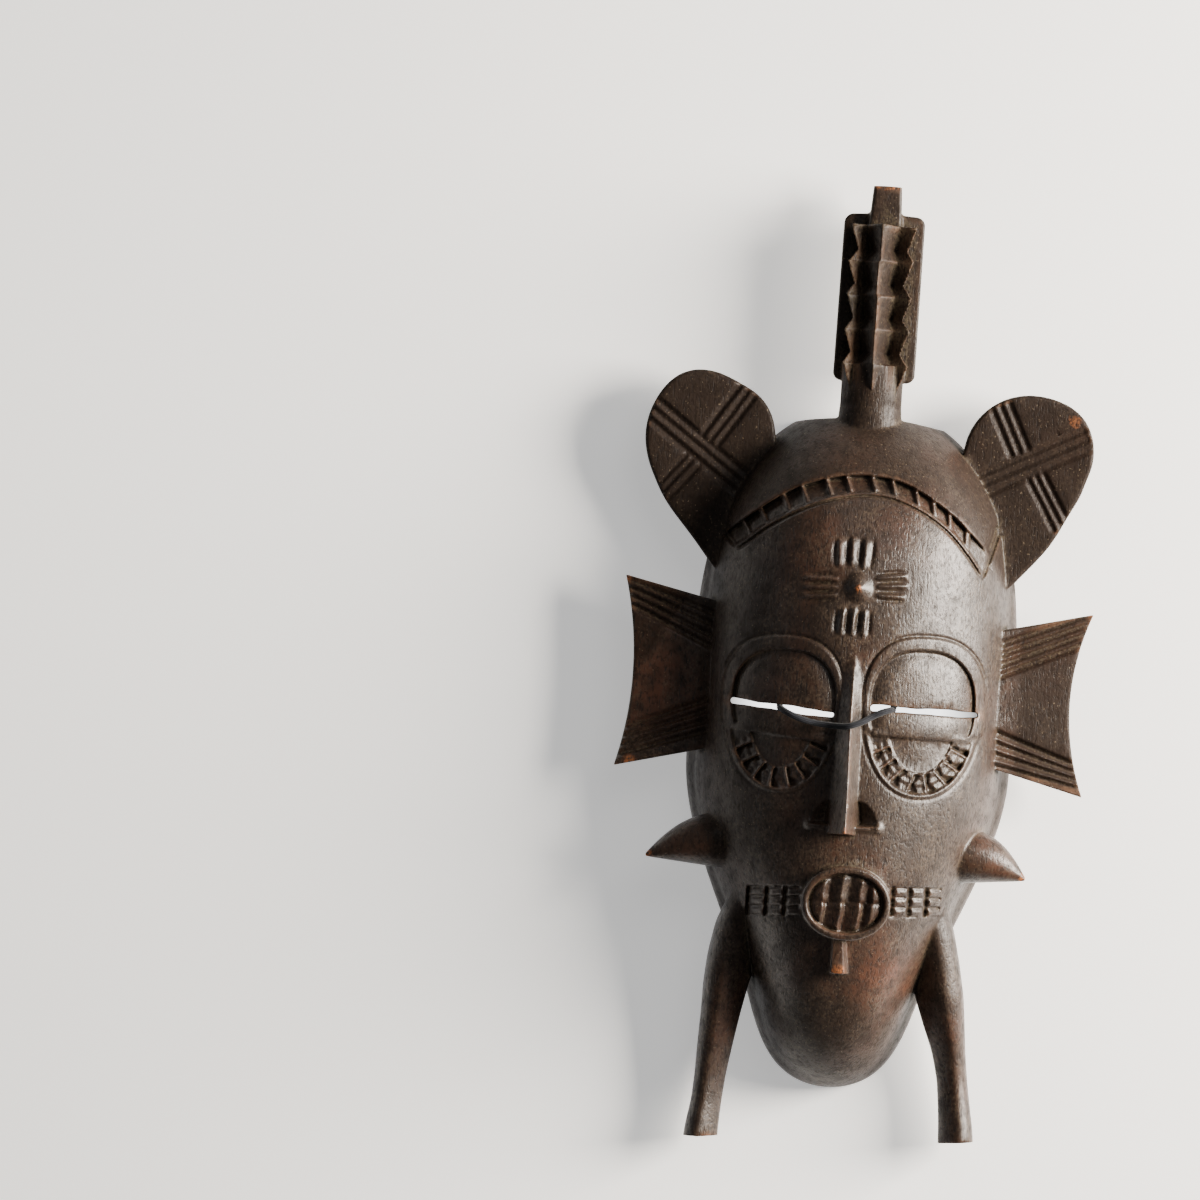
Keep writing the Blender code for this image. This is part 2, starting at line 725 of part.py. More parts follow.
def forehead_marks():
    """A pointed boss, and three ridges to each side of it, above it and below it."""
    x, y = BOSS_CENTRE
    made = []
    foot = [seat(x, y) @ Vector((0.0053 * math.cos(t), 0.0053 * math.sin(t), -0.0020)) for t in steps_round(16)]
    middle = [seat(x, y) @ Vector((0.0030 * math.cos(t), 0.0030 * math.sin(t), 0.0024)) for t in steps_round(16)]
    point = [seat(x, y) @ Vector((0.0010 * math.cos(t), 0.0010 * math.sin(t), 0.0044)) for t in steps_round(16)]
    made.append(rings_solid([foot, middle, point]))
    for i in (-1, 0, 1):
        for place in ((-0.0043 + i * 0.0041, 0.0405), (-0.0024 + i * 0.0036, 0.0164)):
            made.append(ridge(seat(*place, math.pi / 2), 0.0112, 0.0026, 0.0012, 0.0015))
        for place in ((0.0098, 0.0300 + i * 0.0034), (-0.0158, 0.0272 + i * 0.0034)):
            made.append(ridge(seat(*place), 0.0126, 0.0026, 0.0012, 0.0015))
    return made


def steps_round(count):
    return [2 * math.pi * i / count for i in range(count)]


# The hairline: a rail across the forehead, and a row of pits over it.


def hairline(lift, count):
    """Points over the forehead from the left temple to the right, lift outside the rail."""
    points = []
    for i in range(count):
        across = HAIRLINE_REACH * (2 * i / (count - 1) - 1)
        wide, high = HAIRLINE_RIGHT if across > 0 else HAIRLINE_LEFT
        fall = math.sqrt(1 - (across / wide) ** 2)
        outward = Vector((across / wide**2, fall / high)).normalized() * lift
        points.append((0.0010 + across + outward.x, HAIRLINE_TOP - high * (1 - fall) + outward.y))
    return points


def hairline_pits():
    """Square pits between the ribs of the hairline."""
    made = []
    places = hairline(0.0036, 27)
    for before, (x, y), after in zip(places[1::2], places[2::2], places[3::2]):
        turn = math.atan2(after[1] - before[1], after[0] - before[0])
        length = math.dist(before, after) - 0.0013
        made.append(block(seat(x, y, turn), (length, 0.0042, 0.0026)))
    return made


# The hanging cord: from its knot to the left slit, over the nose and back through the right slit
# to the knot again, so that the loop lies inside the hollow and points to the crest.


def smooth_route(points, step):
    """Points about a step apart on a smooth curve through the route's own points."""
    points = [Vector(p) for p in points]
    padded = [points[0] * 2 - points[1], *points, points[-1] * 2 - points[-2]]
    dense = []
    for a, b, c, d in zip(padded, padded[1:], padded[2:], padded[3:]):
        for i in range(12):
            t = i / 12
            dense.append(
                0.5 * (2 * b + (c - a) * t + (2 * a - 5 * b + 4 * c - d) * t**2 + (3 * b - a - 3 * c + d) * t**3)
            )
    dense.append(points[-1])
    line = [dense[0]]
    for point in dense[1:-1]:
        if (point - line[-1]).length >= step:
            line.append(point)
    return line + [dense[-1]]


KNOT_CENTRE = (0.0040, 0.0490, 0.0034)
CORD_ROUTE = (
    (0.0002, 0.0500, 0.0026),
    (-0.0040, 0.0505, 0.0017),
    (-0.0110, 0.0480, 0.0015),
    (-0.0200, 0.0405, 0.0015),
    (-0.0265, 0.0300, 0.0015),
    (-0.0290, 0.0180, 0.0015),
    (-0.0285, 0.0070, 0.0022),
    (-0.0275, -0.0040, 0.0070),
    (-0.0270, -0.0110, 0.0180),
    (-0.0268, -0.0150, 0.0320),
    (-0.0268, -0.0168, 0.0440),
    (-0.0268, -0.0169, 0.0520),
    (-0.0267, -0.0169, 0.0600),
    (-0.0245, -0.0182, 0.0652),
    (-0.0195, -0.0202, 0.0660),
    (-0.0140, -0.0214, 0.0650),
    (-0.0090, -0.0218, 0.0658),
    (-0.0050, -0.0220, 0.0685),
    (-0.0012, -0.0216, 0.0704),
    (0.0028, -0.0200, 0.0690),
    (0.0062, -0.0180, 0.0664),
    (0.0100, -0.0160, 0.0655),
    (0.0130, -0.0151, 0.0620),
    (0.0140, -0.0150, 0.0540),
    (0.0142, -0.0149, 0.0440),
    (0.0150, -0.0135, 0.0330),
    (0.0175, -0.0100, 0.0190),
    (0.0215, -0.0030, 0.0070),
    (0.0255, 0.0060, 0.0022),
    (0.0280, 0.0160, 0.0015),
    (0.0275, 0.0280, 0.0015),
    (0.0225, 0.0395, 0.0015),
    (0.0145, 0.0465, 0.0017),
    (0.0078, 0.0480, 0.0026),
)


def hanging_cord():
    line = smooth_route(CORD_ROUTE, CORD_DIAMETER * 1.65)
    curve = bpy.data.curves.new("hanging_cord", "CURVE")
    curve.dimensions = "3D"
    curve.bevel_depth = CORD_DIAMETER / 2
    curve.bevel_resolution = 2
    curve.use_fill_caps = True
    spline = curve.splines.new("POLY")
    spline.points.add(len(line) - 1)
    for place, point in zip(spline.points, line):
        place.co = (*point, 1)
    return add_object("hanging_cord", curve)


def cord_knot():
    """The knot that joins the cord's two ends, as one small round solid between them."""
    solid = bmesh.new()
    bmesh.ops.create_icosphere(solid, subdivisions=2, radius=KNOT_RADIUS)
    bmesh.ops.scale(solid, vec=(1.1, 1.0, 1.0), verts=solid.verts)
    bmesh.ops.translate(solid, vec=KNOT_CENTRE, verts=solid.verts)
    return join_meshes("cord_knot", [solid])


def carve_mask():
    mask = join_meshes("mask", [bowl(0.0, 0.0, 30, 22)])
    apply_tool(mask, join_meshes("limbs", [made(side) for made in (ear, wing, cheek_spike, leg) for side in (-1, 1)]), "UNION")
    apply_tool(mask, join_meshes("neck_and_peg", [crest_neck(), crest_peg()]), "UNION")
    apply_tool(mask, join_meshes("plate", [crest_plate()]), "UNION")
    apply_tool(mask, join_meshes("crest_thorns", [crest_thorns()]), "UNION")
    apply_tool(mask, join_meshes("sockets", [eye_socket(eye) for eye in EYES]), "DIFFERENCE")
    apply_tool(mask, join_meshes("lids", [eyelid(eye) for eye in EYES]), "UNION")
    apply_tool(mask, join_meshes("tears", [b for eye in EYES for b in tear_blocks(eye)]), "UNION")
    apply_tool(mask, join_meshes("brows", [brow(eye) for eye in EYES]), "UNION")
    apply_tool(mask, join_meshes("nose", [nose()]), "UNION")
    apply_tool(mask, join_meshes("nostrils", [nostril(-1), nostril(1)]), "UNION")
    apply_tool(mask, join_meshes("mouth", [mouth_boss()]), "UNION")
    apply_tool(mask, join_meshes("mouth_opening", [mouth_opening()]), "DIFFERENCE")
    apply_tool(mask, join_meshes("teeth", teeth()), "UNION")
    bar = block(seat(*BAR_CENTRE), BAR_SIZE, 0.85)
    marks = cheek_marks(-1) + cheek_marks(1) + forehead_marks()
    apply_tool(mask, join_meshes("marks", [bar] + marks), "UNION")
    rail = ribbon(hairline(0.0, 21), [0.0022] * 21, 0.0008, 0.0020)
    apply_tool(mask, join_meshes("rail", [rail]), "UNION")
    apply_tool(mask, join_meshes("pits", hairline_pits()), "DIFFERENCE")
    apply_tool(mask, join_meshes("ear_grooves", ear_grooves(-1) + ear_grooves(1)), "DIFFERENCE")
    apply_tool(mask, join_meshes("wing_grooves", wing_grooves(-1) + wing_grooves(1)), "DIFFERENCE")
    apply_tool(mask, join_meshes("hollow", [bowl(WALL, -0.0050, 22, 16)]), "DIFFERENCE")
    apply_tool(mask, join_meshes("slits", [eye_slit(eye) for eye in EYES]), "DIFFERENCE")
    return mask


def main():
    clear_scene()
    wood, cotton = material(*WOOD), material(*CORD)
    carve_mask().data.materials.append(wood)
    hanging_cord().data.materials.append(cotton)
    cord_knot().data.materials.append(cotton)


main()
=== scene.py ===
"""The carved face mask as it looks: worn, smoke-dark hardwood with a blue-black cord through its eyes.

It lies face up on the rim of its hollow back: +X to the right, +Y to the crest, +Z out of the face.
"""

import math

import bmesh
import bpy
import numpy as np
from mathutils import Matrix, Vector


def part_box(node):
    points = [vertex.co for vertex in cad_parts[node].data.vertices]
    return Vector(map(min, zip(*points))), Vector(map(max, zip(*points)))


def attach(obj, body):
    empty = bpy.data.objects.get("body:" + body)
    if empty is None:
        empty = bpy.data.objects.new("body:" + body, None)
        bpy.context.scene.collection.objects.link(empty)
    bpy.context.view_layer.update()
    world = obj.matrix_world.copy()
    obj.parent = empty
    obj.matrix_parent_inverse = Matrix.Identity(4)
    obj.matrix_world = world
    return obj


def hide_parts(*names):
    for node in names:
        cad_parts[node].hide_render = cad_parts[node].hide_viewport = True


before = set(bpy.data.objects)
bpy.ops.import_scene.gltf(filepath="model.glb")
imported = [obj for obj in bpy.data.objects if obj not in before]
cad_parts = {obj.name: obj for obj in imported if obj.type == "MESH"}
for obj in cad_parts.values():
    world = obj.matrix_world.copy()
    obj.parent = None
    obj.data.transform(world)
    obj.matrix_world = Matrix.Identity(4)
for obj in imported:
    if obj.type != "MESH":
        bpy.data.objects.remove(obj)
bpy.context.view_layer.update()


# The studio: a pale seamless floor, one large soft light from the mask's right, a weak one from its
# left, and a long lens that looks straight down from beside the mask, as the picture is framed.
PICTURE_WIDTH = 0.438
PICTURE_CENTRE = (-0.0946, 0.0178)
PICTURE_TURN = math.radians(3.8)
CAMERA_HEIGHT = 4.5
AIM_HEIGHT = 0.025
SENSOR = 36.0


def srgb(code):
    """A hex colour as the linear values that Blender's sockets take."""
    values = [int(code[i : i + 2], 16) / 255 for i in (1, 3, 5)]
    return [v / 12.92 if v <= 0.04045 else ((v + 0.055) / 1.055) ** 2.4 for v in values] + [1.0]


def add_node(tree, kind, links=None, **settings):
    """One node with its settings and its inputs, by name or number: a value, or a socket to link."""
    node = tree.nodes.new(kind)
    for name, value in settings.items():
        setattr(node, name, value)
    for key, value in (links or {}).items():
        if isinstance(value, bpy.types.NodeSocket):
            tree.links.new(value, node.inputs[key])
        else:
            node.inputs[key].default_value = value
    return node


def combine(tree, operation, one, other):
    """The result of one sum with two values."""
    return add_node(tree, "ShaderNodeMath", {0: one, 1: other}, operation=operation).outputs[0]


def in_range(tree, value, low=0.0, high=1.0, least=0.0, most=1.0):
    """A value's share of the way from low to high, as a value from least to most."""
    ends = {"From Min": low, "From Max": high, "To Min": least, "To Max": most}
    return add_node(tree, "ShaderNodeMapRange", {"Value": value, **ends}).outputs["Result"]


def new_object(name, data):
    """An object with some data, in the scene."""
    made = bpy.data.objects.new(name, data)
    bpy.context.scene.collection.objects.link(made)
    return made


camera_data = bpy.data.cameras.new("camera")
camera_data.sensor_width = SENSOR
camera_data.lens = SENSOR * (CAMERA_HEIGHT - AIM_HEIGHT) / PICTURE_WIDTH
camera = new_object("camera", camera_data)
camera.location = (*PICTURE_CENTRE, CAMERA_HEIGHT)
camera.rotation_euler = (0, 0, PICTURE_TURN)
bpy.context.scene.camera = camera


def soft_light(name, place, target, size, power, colour):
    """A square soft light that looks from its place at its target."""
    light = bpy.data.lights.new(name, "AREA")
    light.shape = "RECTANGLE"
    light.size, light.size_y = size
    light.energy = power
    light.color = srgb(colour)[:3]
    made = new_object(name, light)
    made.location = place
    made.rotation_euler = (Vector(target) - Vector(place)).to_track_quat("-Z", "Y").to_euler()


soft_light("key_light", (1.08, 0.26, 0.50), (0.02, 0.0, 0.03), (0.55, 0.85), 100, "#fff6ea")
soft_light("overhead_light", (0.35, 0.75, 1.3), (0, 0, 0), (0.7, 0.7), 2.4, "#ffffff")
soft_light("side_fill", (-1.1, 0.1, 0.45), (0, 0, 0.02), (0.4, 0.9), 0.35, "#eef3ff")

ROOM_LIGHT = 0.13
world = bpy.data.worlds.new("studio")
world.use_nodes = True
room = world.node_tree.nodes["Background"]
room.inputs["Color"].default_value = srgb("#f4f4f2")
room.inputs["Strength"].default_value = ROOM_LIGHT
bpy.context.scene.world = world

FLOOR_HALF = 4.0
floor_corners = [(x * FLOOR_HALF, y * FLOOR_HALF, 0) for x, y in ((-1, -1), (1, -1), (1, 1), (-1, 1))]
floor_mesh = bpy.data.meshes.new("floor")
floor_mesh.from_pydata(floor_corners, [], [(0, 1, 2, 3)])
floor = new_object("floor", floor_mesh)
paper = bpy.data.materials.new("matt_background_paper")
paper.use_nodes = True
shader = paper.node_tree.nodes["Principled BSDF"]
shader.inputs["Base Color"].default_value = srgb("#f7f7f6")
shader.inputs["Roughness"].default_value = 0.9
shader.inputs["Emission Color"].default_value = srgb("#ffffff")
# The paper glows a little, and more behind the eye slits, so that they show as light as the ground.
GLOW, SLIT_GLOW = 0.5, 3.4
GLOW_CENTRE_Y, GLOW_HALF = -0.016, (0.046, 0.022)
tree = paper.node_tree
place = add_node(tree, "ShaderNodeTexCoord")
laid = add_node(
    tree,
    "ShaderNodeMapping",
    {
        "Vector": place.outputs["Object"],
        "Location": (0, -GLOW_CENTRE_Y / GLOW_HALF[1], 0),
        "Scale": (1 / GLOW_HALF[0], 1 / GLOW_HALF[1], 1),
    },
)
spread = add_node(tree, "ShaderNodeTexGradient", {"Vector": laid.outputs[0]}, gradient_type="SPHERICAL")
GLOW_EDGE = 0.3
glow = in_range(tree, spread.outputs["Fac"], 0.0, GLOW_EDGE, GLOW, SLIT_GLOW)
tree.links.new(glow, shader.inputs["Emission Strength"])
floor_mesh.materials.append(paper)


# The hanging cord: thin braided cotton, dyed blue-black. It comes up through the left eye slit, lies
# over the nose and goes back through the right slit, and its loop lies on the floor in the hollow.
CORD_DIAMETER = 0.0023
CORD_STEP = 0.0009
CORD_SIDES, KNOT_SIDES = 20, 12
PLAIT = 0.0030
ROUTE_STEPS = 12
CORD_ROUTE = (
    (0.0002, 0.0500, 0.0026),
    (-0.0040, 0.0505, 0.0017),
    (-0.0110, 0.0480, 0.0015),
    (-0.0200, 0.0405, 0.0015),
    (-0.0265, 0.0300, 0.0015),
    (-0.0290, 0.0180, 0.0015),
    (-0.0285, 0.0070, 0.0022),
    (-0.0275, -0.0040, 0.0070),
    (-0.0270, -0.0110, 0.0180),
    (-0.0268, -0.0150, 0.0320),
    (-0.0268, -0.0168, 0.0440),
    (-0.0268, -0.0169, 0.0520),
    (-0.0267, -0.0169, 0.0600),
    (-0.0245, -0.0182, 0.0652),
    (-0.0195, -0.0202, 0.0660),
    (-0.0140, -0.0214, 0.0650),
    (-0.0090, -0.0218, 0.0658),
    (-0.0050, -0.0220, 0.0685),
    (-0.0012, -0.0216, 0.0704),
    (0.0028, -0.0200, 0.0690),
    (0.0062, -0.0180, 0.0664),
    (0.0100, -0.0160, 0.0655),
    (0.0130, -0.0151, 0.0620),
    (0.0140, -0.0150, 0.0540),
    (0.0142, -0.0149, 0.0440),
    (0.0150, -0.0135, 0.0330),
    (0.0175, -0.0100, 0.0190),
    (0.0215, -0.0030, 0.0070),
    (0.0255, 0.0060, 0.0022),
    (0.0280, 0.0160, 0.0015),
    (0.0275, 0.0280, 0.0015),
    (0.0225, 0.0395, 0.0015),
    (0.0145, 0.0465, 0.0017),
    (0.0078, 0.0480, 0.0026),
)


def smooth_route(points, step):
    """Points about a step apart on a smooth curve through the route's own points."""
    points = [Vector(p) for p in points]
    padded = [points[0] * 2 - points[1], *points, points[-1] * 2 - points[-2]]
    dense = []
    for a, b, c, d in zip(padded, padded[1:], padded[2:], padded[3:]):
        for i in range(ROUTE_STEPS):
            t = i / ROUTE_STEPS
            square = (2 * a - 5 * b + 4 * c - d) * t**2
            cube = (3 * b - a - 3 * c + d) * t**3
            dense.append(0.5 * (2 * b + (c - a) * t + square + cube))
    dense.append(points[-1])
    line = [dense[0]]
    for point in dense[1:-1]:
        if (point - line[-1]).length >= step:
            line.append(point)
    return line + [dense[-1]]


def braided_tube(name, line, radius, sides, plait):
    """A closed tube along a line, whose skin rises and falls as plaited yarn does; u runs round it
    and v along it, both in turns of the plait."""
    points, faces, uvs = [], [], []
    side = Vector((0, 0, 1))
    length = 0.0
    for i, point in enumerate(line):
        ahead = (line[min(i + 1, len(line) - 1)] - line[max(i - 1, 0)]).normalized()
        side = (side - ahead * side.dot(ahead)).normalized()
        over = ahead.cross(side)
        length += (point - line[i - 1]).length if i else 0.0
        for j in range(sides):
            turn = 2 * math.pi * j / sides
            climb = length / plait * math.pi
            yarn = abs(math.sin(2 * turn + climb)) + abs(math.sin(2 * turn - climb))
            reach = radius * (0.88 + 0.07 * yarn)
            points.append(point + (side * math.cos(turn) + over * math.sin(turn)) * reach)
    for i in range(len(line) - 1):
        for j in range(sides):
            k = (j + 1) % sides
            faces.append((i * sides + j, i * sides + k, (i + 1) * sides + k, (i + 1) * sides + j))
            uvs += [(j / sides, i), ((j + 1) / sides, i), ((j + 1) / sides, i + 1), (j / sides, i + 1)]
    for end in (0, len(line) - 1):
        points.append(line[end])
        for j in range(sides):
            k = (j + 1) % sides
            pair = (end * sides + k, end * sides + j) if end == 0 else (end * sides + j, end * sides + k)
            faces.append((len(points) - 1, *pair))
            uvs += [(0.5, end)] * 3
    mesh = bpy.data.meshes.new(name)
    mesh.from_pydata(points, [], faces)
    layer = mesh.uv_layers.new(name="yarn")
    scale = (line[1] - line[0]).length / plait
    for corner, (u, v) in zip(layer.data, uvs):
        corner.uv = (u, v * scale)
    mesh.polygons.foreach_set("use_smooth", [True] * len(faces))
    mesh.update()
    return new_object(name, mesh)


def dyed_cotton():
    """Cotton yarn dyed blue-black: matt, with a grey bloom where its fibres are rubbed."""
    made = bpy.data.materials.new("dyed_cotton_braid")
    made.use_nodes = True
    tree = made.node_tree
    shader = tree.nodes["Principled BSDF"]
    place = add_node(tree, "ShaderNodeTexCoord").outputs
    yarn = add_node(tree, "ShaderNodeTexWave", {"Vector": place["UV"], "Scale": 3.2, "Distortion": 1.0})
    fibre = add_node(tree, "ShaderNodeTexNoise", {"Vector": place["Object"], "Scale": 2600.0, "Detail": 2.0})
    rubbed = combine(tree, "MULTIPLY", yarn.outputs["Fac"], fibre.outputs["Fac"])
    colour = add_node(
        tree,
        "ShaderNodeMix",
        {"Factor": rubbed, 6: srgb("#08090c"), 7: srgb("#282b34")},
        data_type="RGBA",
    )
    tree.links.new(colour.outputs[2], shader.inputs["Base Color"])
    shader.inputs["Roughness"].default_value = 0.9
    shader.inputs["Specular IOR Level"].default_value = 0.2
    shader.inputs["Sheen Weight"].default_value = 0.08
    bump = add_node(tree, "ShaderNodeBump", {"Height": rubbed, "Strength": 0.5, "Distance": 0.0002})
    tree.links.new(bump.outputs["Normal"], shader.inputs["Normal"])
    return made


cord_line = smooth_route(CORD_ROUTE, CORD_STEP)
cord = braided_tube("braided_cord", cord_line, CORD_DIAMETER / 2, CORD_SIDES, PLAIT)
cotton = dyed_cotton()
cord.data.materials.append(cotton)


# The knot that ties the cord's two ends: the same cord wound in an overhand knot, pulled tight.
KNOT_CENTRE = Vector((0.0040, 0.0490, 0.0034))
KNOT_REACH = Vector((0.0022, 0.0019, 0.0018))
KNOT_STEPS, KNOT_CLOSED, KNOT_LOBES, KNOT_PULLED = 48, 0.98, 0.9, 0.62
knot_line = []
for i in range(KNOT_STEPS + 1):
    turn = 2 * math.pi * i / KNOT_STEPS * KNOT_CLOSED
    wound = (
        KNOT_REACH.x * (math.sin(turn) + KNOT_LOBES * math.sin(2 * turn)) * KNOT_PULLED,
        KNOT_REACH.y * (math.cos(turn) - KNOT_LOBES * math.cos(2 * turn)) * KNOT_PULLED,
        KNOT_REACH.z * -math.sin(3 * turn) * KNOT_PULLED,
    )
    knot_line.append(KNOT_CENTRE + Vector(wound))
knot = braided_tube("cord_knot_tied", knot_line, CORD_DIAMETER / 2, KNOT_SIDES, PLAIT)
knot.data.materials.append(cotton)
for piece in (cord, knot):
    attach(piece, "root")
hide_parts("hanging_cord")
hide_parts("cord_knot")


# The mask: one block of hardwood, roughed out with an adze and finished with a knife, then oiled
# and smoked dark. It is carved here as a block is, by what is added to and cut from its surface,
# with every size in millimetres, and its surface is then taken off as one closed mesh.
CELL = 0.25
VOXEL = 0.5
MAP_LOW = (-92.0, -180.0)
MAP_HIGH = (92.0, 180.0)
SEED = 7
random = np.random.default_rng(SEED)

map_x, map_y = np.meshgrid(
    np.arange(MAP_LOW[0], MAP_HIGH[0] + CELL, CELL, dtype=np.float32),
    np.arange(MAP_LOW[1], MAP_HIGH[1] + CELL, CELL, dtype=np.float32),
)
face = np.zeros_like(map_x)
slab = np.zeros_like(map_x)


def smooth(share):
    """A share of a way, held between 0 and 1 and eased at both ends."""
    share = np.clip(share, 0, 1)
    return share * share * (3 - 2 * share)


def window(points, margin):
    """The rows and columns of the maps that cover some points, and their x and y."""
    low = np.min(points, 0) - margin
    high = np.max(points, 0) + margin
    cols = slice(max(0, int((low[0] - MAP_LOW[0]) / CELL)), int((high[0] - MAP_LOW[0]) / CELL) + 2)
    rows = slice(max(0, int((low[1] - MAP_LOW[1]) / CELL)), int((high[1] - MAP_LOW[1]) / CELL) + 2)
    return (rows, cols), map_x[rows, cols], map_y[rows, cols]


def along(path, x, y):
    """Each cell's distance from a path, its share of the way along it, and its side (+1 is left)."""
    path = np.array(path, float)
    lengths = np.hypot(*(path[1:] - path[:-1]).T)
    total, run = lengths.sum(), 0.0
    best = np.full_like(x, 1e6)
    share, side = np.zeros_like(x), np.zeros_like(x)
    for (ax, ay), (bx, by), length in zip(path, path[1:], lengths):
        dx, dy = (bx - ax) / length, (by - ay) / length
        reach = np.clip((x - ax) * dx + (y - ay) * dy, 0, length)
        off_x, off_y = x - ax - reach * dx, y - ay - reach * dy
        away = np.hypot(off_x, off_y)
        closer = away < best
        best = np.where(closer, away, best)
        share = np.where(closer, (run + reach) / total, share)
        side = np.where(closer, np.sign(dx * (y - ay) - dy * (x - ax)), side)
        run += length
    return best, share, side


def oval(x, y, centre, half, power=2.0):
    """Distance outside an oval's edge, about right near it; a power over 2 squares the oval up."""
    u = np.abs(x - centre[0]) / half[0] + 1e-6
    v = np.abs(y - centre[1]) / half[1] + 1e-6
    size = (u**power + v**power) ** (1 / power)
    slope = size ** (1 - power) * np.hypot(u ** (power - 1) / half[0], v ** (power - 1) / half[1])
    return (size - 1) / slope


def arc(centre, half, start, end, count=24, power=2.0):
    """Points along an oval, from one angle to another in degrees."""
    turns = np.radians(np.linspace(start, end, count))
    cos, sin = np.cos(turns), np.sin(turns)
    x = centre[0] + half[0] * np.sign(cos) * np.abs(cos) ** (2 / power)
    y = centre[1] + half[1] * np.sign(sin) * np.abs(sin) ** (2 / power)
    return list(zip(x, y))


def nearness(away, side, full, width, lean):
    """How near each cell is to a cut's deepest line: 1 on it and 0 at the cut's edge."""
    across = side * away - lean * width / 2
    reach = np.where(across > 0, 1 - lean, 1 + lean) * width / 2 * np.maximum(full, 0.05)
    return 1 - np.abs(across) / reach


def gouge(relief, path, width, depth, lean=0.0, ends=0.12, blunt=0.0):
    """A V-cut along a path: depth at its middle, nothing at half its width, thinner at its ends.

    lean moves its deepest line to one side, and blunt makes its floor flat."""
    where, x, y = window(path, width)
    away, share, side = along(path, x, y)
    full = np.clip(np.minimum(share, 1 - share) / max(ends, 1e-3), 0, 1) ** 0.6
    cut = depth * full * np.clip(nearness(away, side, full, width, lean) / (1 - blunt), 0, 1)
    inside = away < width
    relief[where] = np.where(inside, np.minimum(relief[where], -cut), relief[where])


def ridge(relief, path, width, rise, lean=0.0, round_ends=0.5):
    """A roof-shaped rib along a path, added to what is there."""
    where, x, y = window(path, width)
    away, share, side = along(path, x, y)
    full = np.clip(4 * share * (1 - share), 0, 1) ** round_ends
    relief[where] += rise * full * np.clip(nearness(away, side, full, width, lean), 0, 1)


def blur(relief, times):
    """Softens a map as rubbing with hands and cloth softens every cut edge."""
    for _ in range(times):
        relief = (np.roll(relief, 1, 0) + 2 * relief + np.roll(relief, -1, 0)) / 4
        relief = (np.roll(relief, 1, 1) + 2 * relief + np.roll(relief, -1, 1)) / 4
    return relief


def look_up(relief, x, y):
    """A map's height at any points, between its cells."""
    u = np.clip((x - MAP_LOW[0]) / CELL, 0, relief.shape[1] - 1.001)
    v = np.clip((y - MAP_LOW[1]) / CELL, 0, relief.shape[0] - 1.001)
    i, j = u.astype(np.int32), v.astype(np.int32)
    u, v = u - i, v - j
    flat = relief.ravel()
    base = j * relief.shape[1] + i
    low = flat[base] * (1 - u) + flat[base + 1] * u
    high = flat[base + relief.shape[1]] * (1 - u) + flat[base + relief.shape[1] + 1] * u
    return low * (1 - v) + high * v


# The head: an egg with a long chin, domed over a bowl-shaped hollow.
HEAD_TOP, CHIN = 95.5, -155.0
HALF_WIDTH, WIDEST_Y = 59.3, -11.0
CROWN_POWER, CROWN_SQUARE = 2.8, 2.17
TAPER_START, TAPER_END, CHIN_HALF_WIDTH = -36.0, -151.0, 26.0
CAP_START, CAP_POWER = -119.0, 3.1
DEPTH, BROW_Y, CHEEK_Y = 62.0, 9.0, -21.0
PROFILE_POWER, FRONT_POWER, SIDE_POWER, EGG_POWER = 2.6, 2.2, 2.5, 2.3
CROWN_CUT, CROWN_CUT_FALL = 90.6, 0.0036
WALL, CROWN_WALL = 9.5, 1.6
LEAST_SIZE = 0.8
STEEPEST = 6.0


def head_tables(inset):
    """Half width, depth and their slopes at each height, for the head or, inset, for its hollow."""
    y = np.arange(MAP_LOW[1], MAP_HIGH[1], CELL)
    top, chin = HEAD_TOP - inset * CROWN_WALL, CHIN + inset
    up = np.clip((y - WIDEST_Y) / (top - WIDEST_Y), 0, 1)
    upper = (HALF_WIDTH - inset) * (1 - up**CROWN_POWER) ** (1 / CROWN_SQUARE)
    taper = smooth((TAPER_START - y) / (TAPER_START - TAPER_END))
    cap = np.clip((CAP_START - y) / (CAP_START - chin), 0, 1)
    lower = (HALF_WIDTH + (CHIN_HALF_WIDTH - HALF_WIDTH) * taper - inset) * np.sqrt(1 - cap**CAP_POWER)
    width = np.maximum(np.where(y > WIDEST_Y, upper, lower), LEAST_SIZE)
    share = np.where(y > BROW_Y, (y - BROW_Y) / (top - BROW_Y), (CHEEK_Y - y) / (CHEEK_Y - chin))
    share = np.clip(np.where((y <= BROW_Y) & (y >= CHEEK_Y), 0, share), 0, 1)
    height = np.maximum((DEPTH - inset) * (1 - share**PROFILE_POWER) ** (1 / FRONT_POWER), LEAST_SIZE)
    width_slope = np.clip(np.gradient(width, y), -STEEPEST, STEEPEST)
    height_slope = np.clip(np.gradient(height, y), -STEEPEST, STEEPEST)
    return y, width, height, width_slope, height_slope, top, chin


HEAD, HOLLOW = head_tables(0.0), head_tables(WALL)


